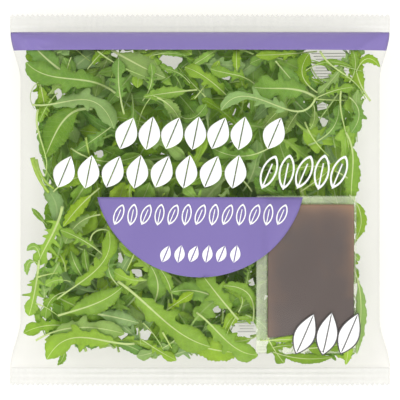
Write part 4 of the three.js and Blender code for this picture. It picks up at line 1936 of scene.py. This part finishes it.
@dataclass
class Sachet:
    """The sachet of dressing that lies on the leaves, close under the front film."""

    form: BagForm
    height: SampledHeight
    border_below: float = 2.4
    pouch_below: float = 0.7
    film_gap: float = 0.25
    dressing_depth: float = 6.0
    dressing_centre: Place = (60.7, -38.9)
    dressing_size: Place = (47.4, 73.0)
    right_edge: float = 86.0
    soft_edge: float = 0.35
    margin: float = 0.6
    spare_room: float = 0.8
    room_edge: float = 4.0
    edge_sag: float = 0.5
    edge_rise: float = 2.2
    crowding: float = 0.3
    columns: int = 56
    rows: int = 72

    def pillow(self, u: Points, v: Points) -> Points:
        """How full a pillow is: 1 in its middle and 0 at its sides, where u or v is 1 or -1."""
        return np.sqrt(np.clip(1 - np.abs(u) ** 5, 0, 1) * np.clip(1 - np.abs(v) ** 6, 0, 1))

    def swell(self, x: Points, y: Points) -> Points:
        """How far the pouch swells.

        Args:
            x: places across the bag.
            y: places along it.

        Returns:
            A share from 0 at the pouch's edge to 1 in its middle.
        """
        u = (x - self.dressing_centre[0]) / (self.dressing_size[0] / 2 + self.margin)
        v = (y - self.dressing_centre[1]) / (self.dressing_size[1] / 2 + self.margin)
        return self.pillow(u, v)

    def room(self, x: Points, y: Points) -> Points:
        """Find how much room the sachet takes.

        Args:
            x: places across the bag.
            y: places along it.

        Returns:
            How far below the front film the leaves have to stay.
        """
        border = self.form.plateau(x, y, self.form.sachet_size, self.room_edge)
        pouch = self.swell(x, y) * (self.dressing_depth + self.margin)
        return border * (self.border_below + self.spare_room) + pouch

    def build_dressing(self) -> bpy.types.Object:
        """Build the dressing in its pouch.

        Returns:
            One closed pillow that knows how deep the dressing is at each place.
        """
        sheets = []
        for under in (0, 1):
            sheet = add_grid("dressing", self.columns, self.rows)
            s, t, _ = read_points(sheet).T
            s, t = (share + self.crowding * np.sin(math.pi * share) / math.pi for share in (s, t))
            x = self.dressing_centre[0] + s * self.dressing_size[0] / 2
            y = self.dressing_centre[1] + t * self.dressing_size[1] / 2
            # The dressing's lower edge rises a little away from its left corner.
            y += self.edge_rise * np.clip(-t, 0, 1) ** 2 * smooth((s + 1) / 0.9)
            # The dressing has run down: it is thin at the top, less so at the upper right and the left.
            thin = np.exp((t - 1) / 0.1) + 0.6 * np.exp((s - 1) / 0.14) * smooth(t + 0.6)
            thin += 0.3 * np.exp(-(1 + s) / 0.2)
            deep = self.pillow(s, t)
            top = self.height(x, y) - self.pouch_below - self.film_gap - self.edge_sag * (1 - deep)
            write_points(sheet, x, y, top - under * deep * (self.dressing_depth - self.edge_sag))
            add_values(sheet, "depth", 1 - np.clip(thin, 0, 1))
            sheets.append(sheet)
        return close_shell(*sheets, "sachet_dressing")

    def build_film(self) -> bpy.types.Object:
        """Build the sachet's own film.

        Returns:
            One closed envelope round the dressing that knows how milky it is at each place.
        """
        sheets = []
        for under in (0, 1):
            sheet = add_grid("envelope", self.columns + 20, self.rows + 20)
            s, t, _ = read_points(sheet).T
            half_x, half_y = (size / 2 for size in self.form.sachet_size)
            right = self.right_edge - self.form.sachet_centre[0]
            x = self.form.sachet_centre[0] + np.where(s > 0, s * right, s * (half_x + 0.6))
            y = self.form.sachet_centre[1] + np.where(t > 0, t * (half_y + 0.4), t * half_y)
            deep = self.swell(x, y)
            front = self.height(x, y)
            border = front - self.border_below
            top = border + deep * (self.border_below - self.pouch_below) + 0.05
            low = border - deep * (self.dressing_depth + self.pouch_below - self.border_below + 0.3)
            write_points(sheet, x, y, np.where(on_rim(s, t), border, low if under else top))
            # The cut edge has no thickness to speak of, so the milkiness fades out to it.
            inside = np.minimum((1 - np.abs(s)) * half_x, (1 - np.abs(t)) * half_y)
            add_values(sheet, "milky", (1 - smooth(deep / 0.5)) * smooth(inside / self.soft_edge + 0.1))
            sheets.append(sheet)
        return close_shell(*sheets, "sachet_film")

    def build(self) -> None:
        """Build and dress the dressing and its film."""
        finish(self.build_dressing(), Dressing().material())
        finish(self.build_film(), SachetFilm().material())


# The studio


@dataclass
class Studio:
    """A white table, soft light from all round and a camera straight above with a long lens.

    The lamps are at the upper left, the right and the front, each with its place and its side in
    metres and its power in watts.
    """

    form: BagForm
    lens_mm: float = 300.0
    sensor_mm: float = 36.0
    sky: float = 0.77
    table_side: float = 6.0
    table_below: float = 0.0002
    lamps: tuple[tuple[tuple[float, float, float], float, float], ...] = (
        ((-1.7, 1.4, 2.2), 1.2, 21.0), ((1.9, 0.3, 2.3), 1.6, 15.0), ((0.2, -2.0, 2.3), 1.6, 36.0),
    )

    def build_floor(self) -> None:
        """Add the table, which isn't part of the object."""
        deselect()
        bpy.ops.mesh.primitive_plane_add(size=self.table_side, location=(0, 0, -self.table_below))
        table = bpy.context.object
        table.name = "table"
        table.data.materials.append(LightTable().material())

    def add_lamp(self, place: tuple[float, float, float], size: float, watts: float) -> None:
        """Add a square soft lamp that looks at the bag.

        Args:
            place: where it stands, in metres.
            size: its side.
            watts: its power.
        """
        bpy.ops.object.light_add(type="AREA", location=place)
        lamp = bpy.context.object
        lamp.data.shape = "SQUARE"
        lamp.data.size = size
        lamp.data.energy = watts
        level = math.hypot(*place[:2])
        lamp.rotation_euler = (math.atan2(level, place[2]), 0, math.atan2(place[0], -place[1]))

    def build(self) -> None:
        """Add the table, the lights, the camera and the plain view of colours."""
        scene = bpy.context.scene
        self.build_floor()
        world = bpy.data.worlds.new("studio")
        world.use_nodes = True
        world.node_tree.nodes["Background"].inputs["Color"].default_value = (1, 1, 1, 1)
        world.node_tree.nodes["Background"].inputs["Strength"].default_value = self.sky
        scene.world = world
        for lamp in self.lamps:
            self.add_lamp(*lamp)

        width = PHOTO_WIDTH * MM_PER_PIXEL * MM
        distance = width * self.lens_mm / self.sensor_mm
        bpy.ops.object.camera_add(location=(0, 0, self.form.seal_height * MM + distance))
        camera = bpy.context.object
        camera.name = "camera"
        camera.data.lens = self.lens_mm
        camera.data.sensor_width = self.sensor_mm
        camera.data.clip_end = 20.0
        scene.camera = camera
        scene.view_settings.view_transform = "Standard"
        scene.cycles.transparent_max_bounces = 32


def main() -> None:
    """Build every piece in order."""
    logging.basicConfig(level=logging.INFO, format="%(name)s: %(message)s")
    form = BagForm()
    creases = Creases(form)
    height = SampledHeight(lambda x, y: form.front(x, y) + creases.height(x, y))
    Studio(form).build()
    LeafHeap(form, height).build()
    Sachet(form, height).build()
    Print(form, height).build()
    FilmBag(form, height).build()


if __name__ == "__main__":
    main()
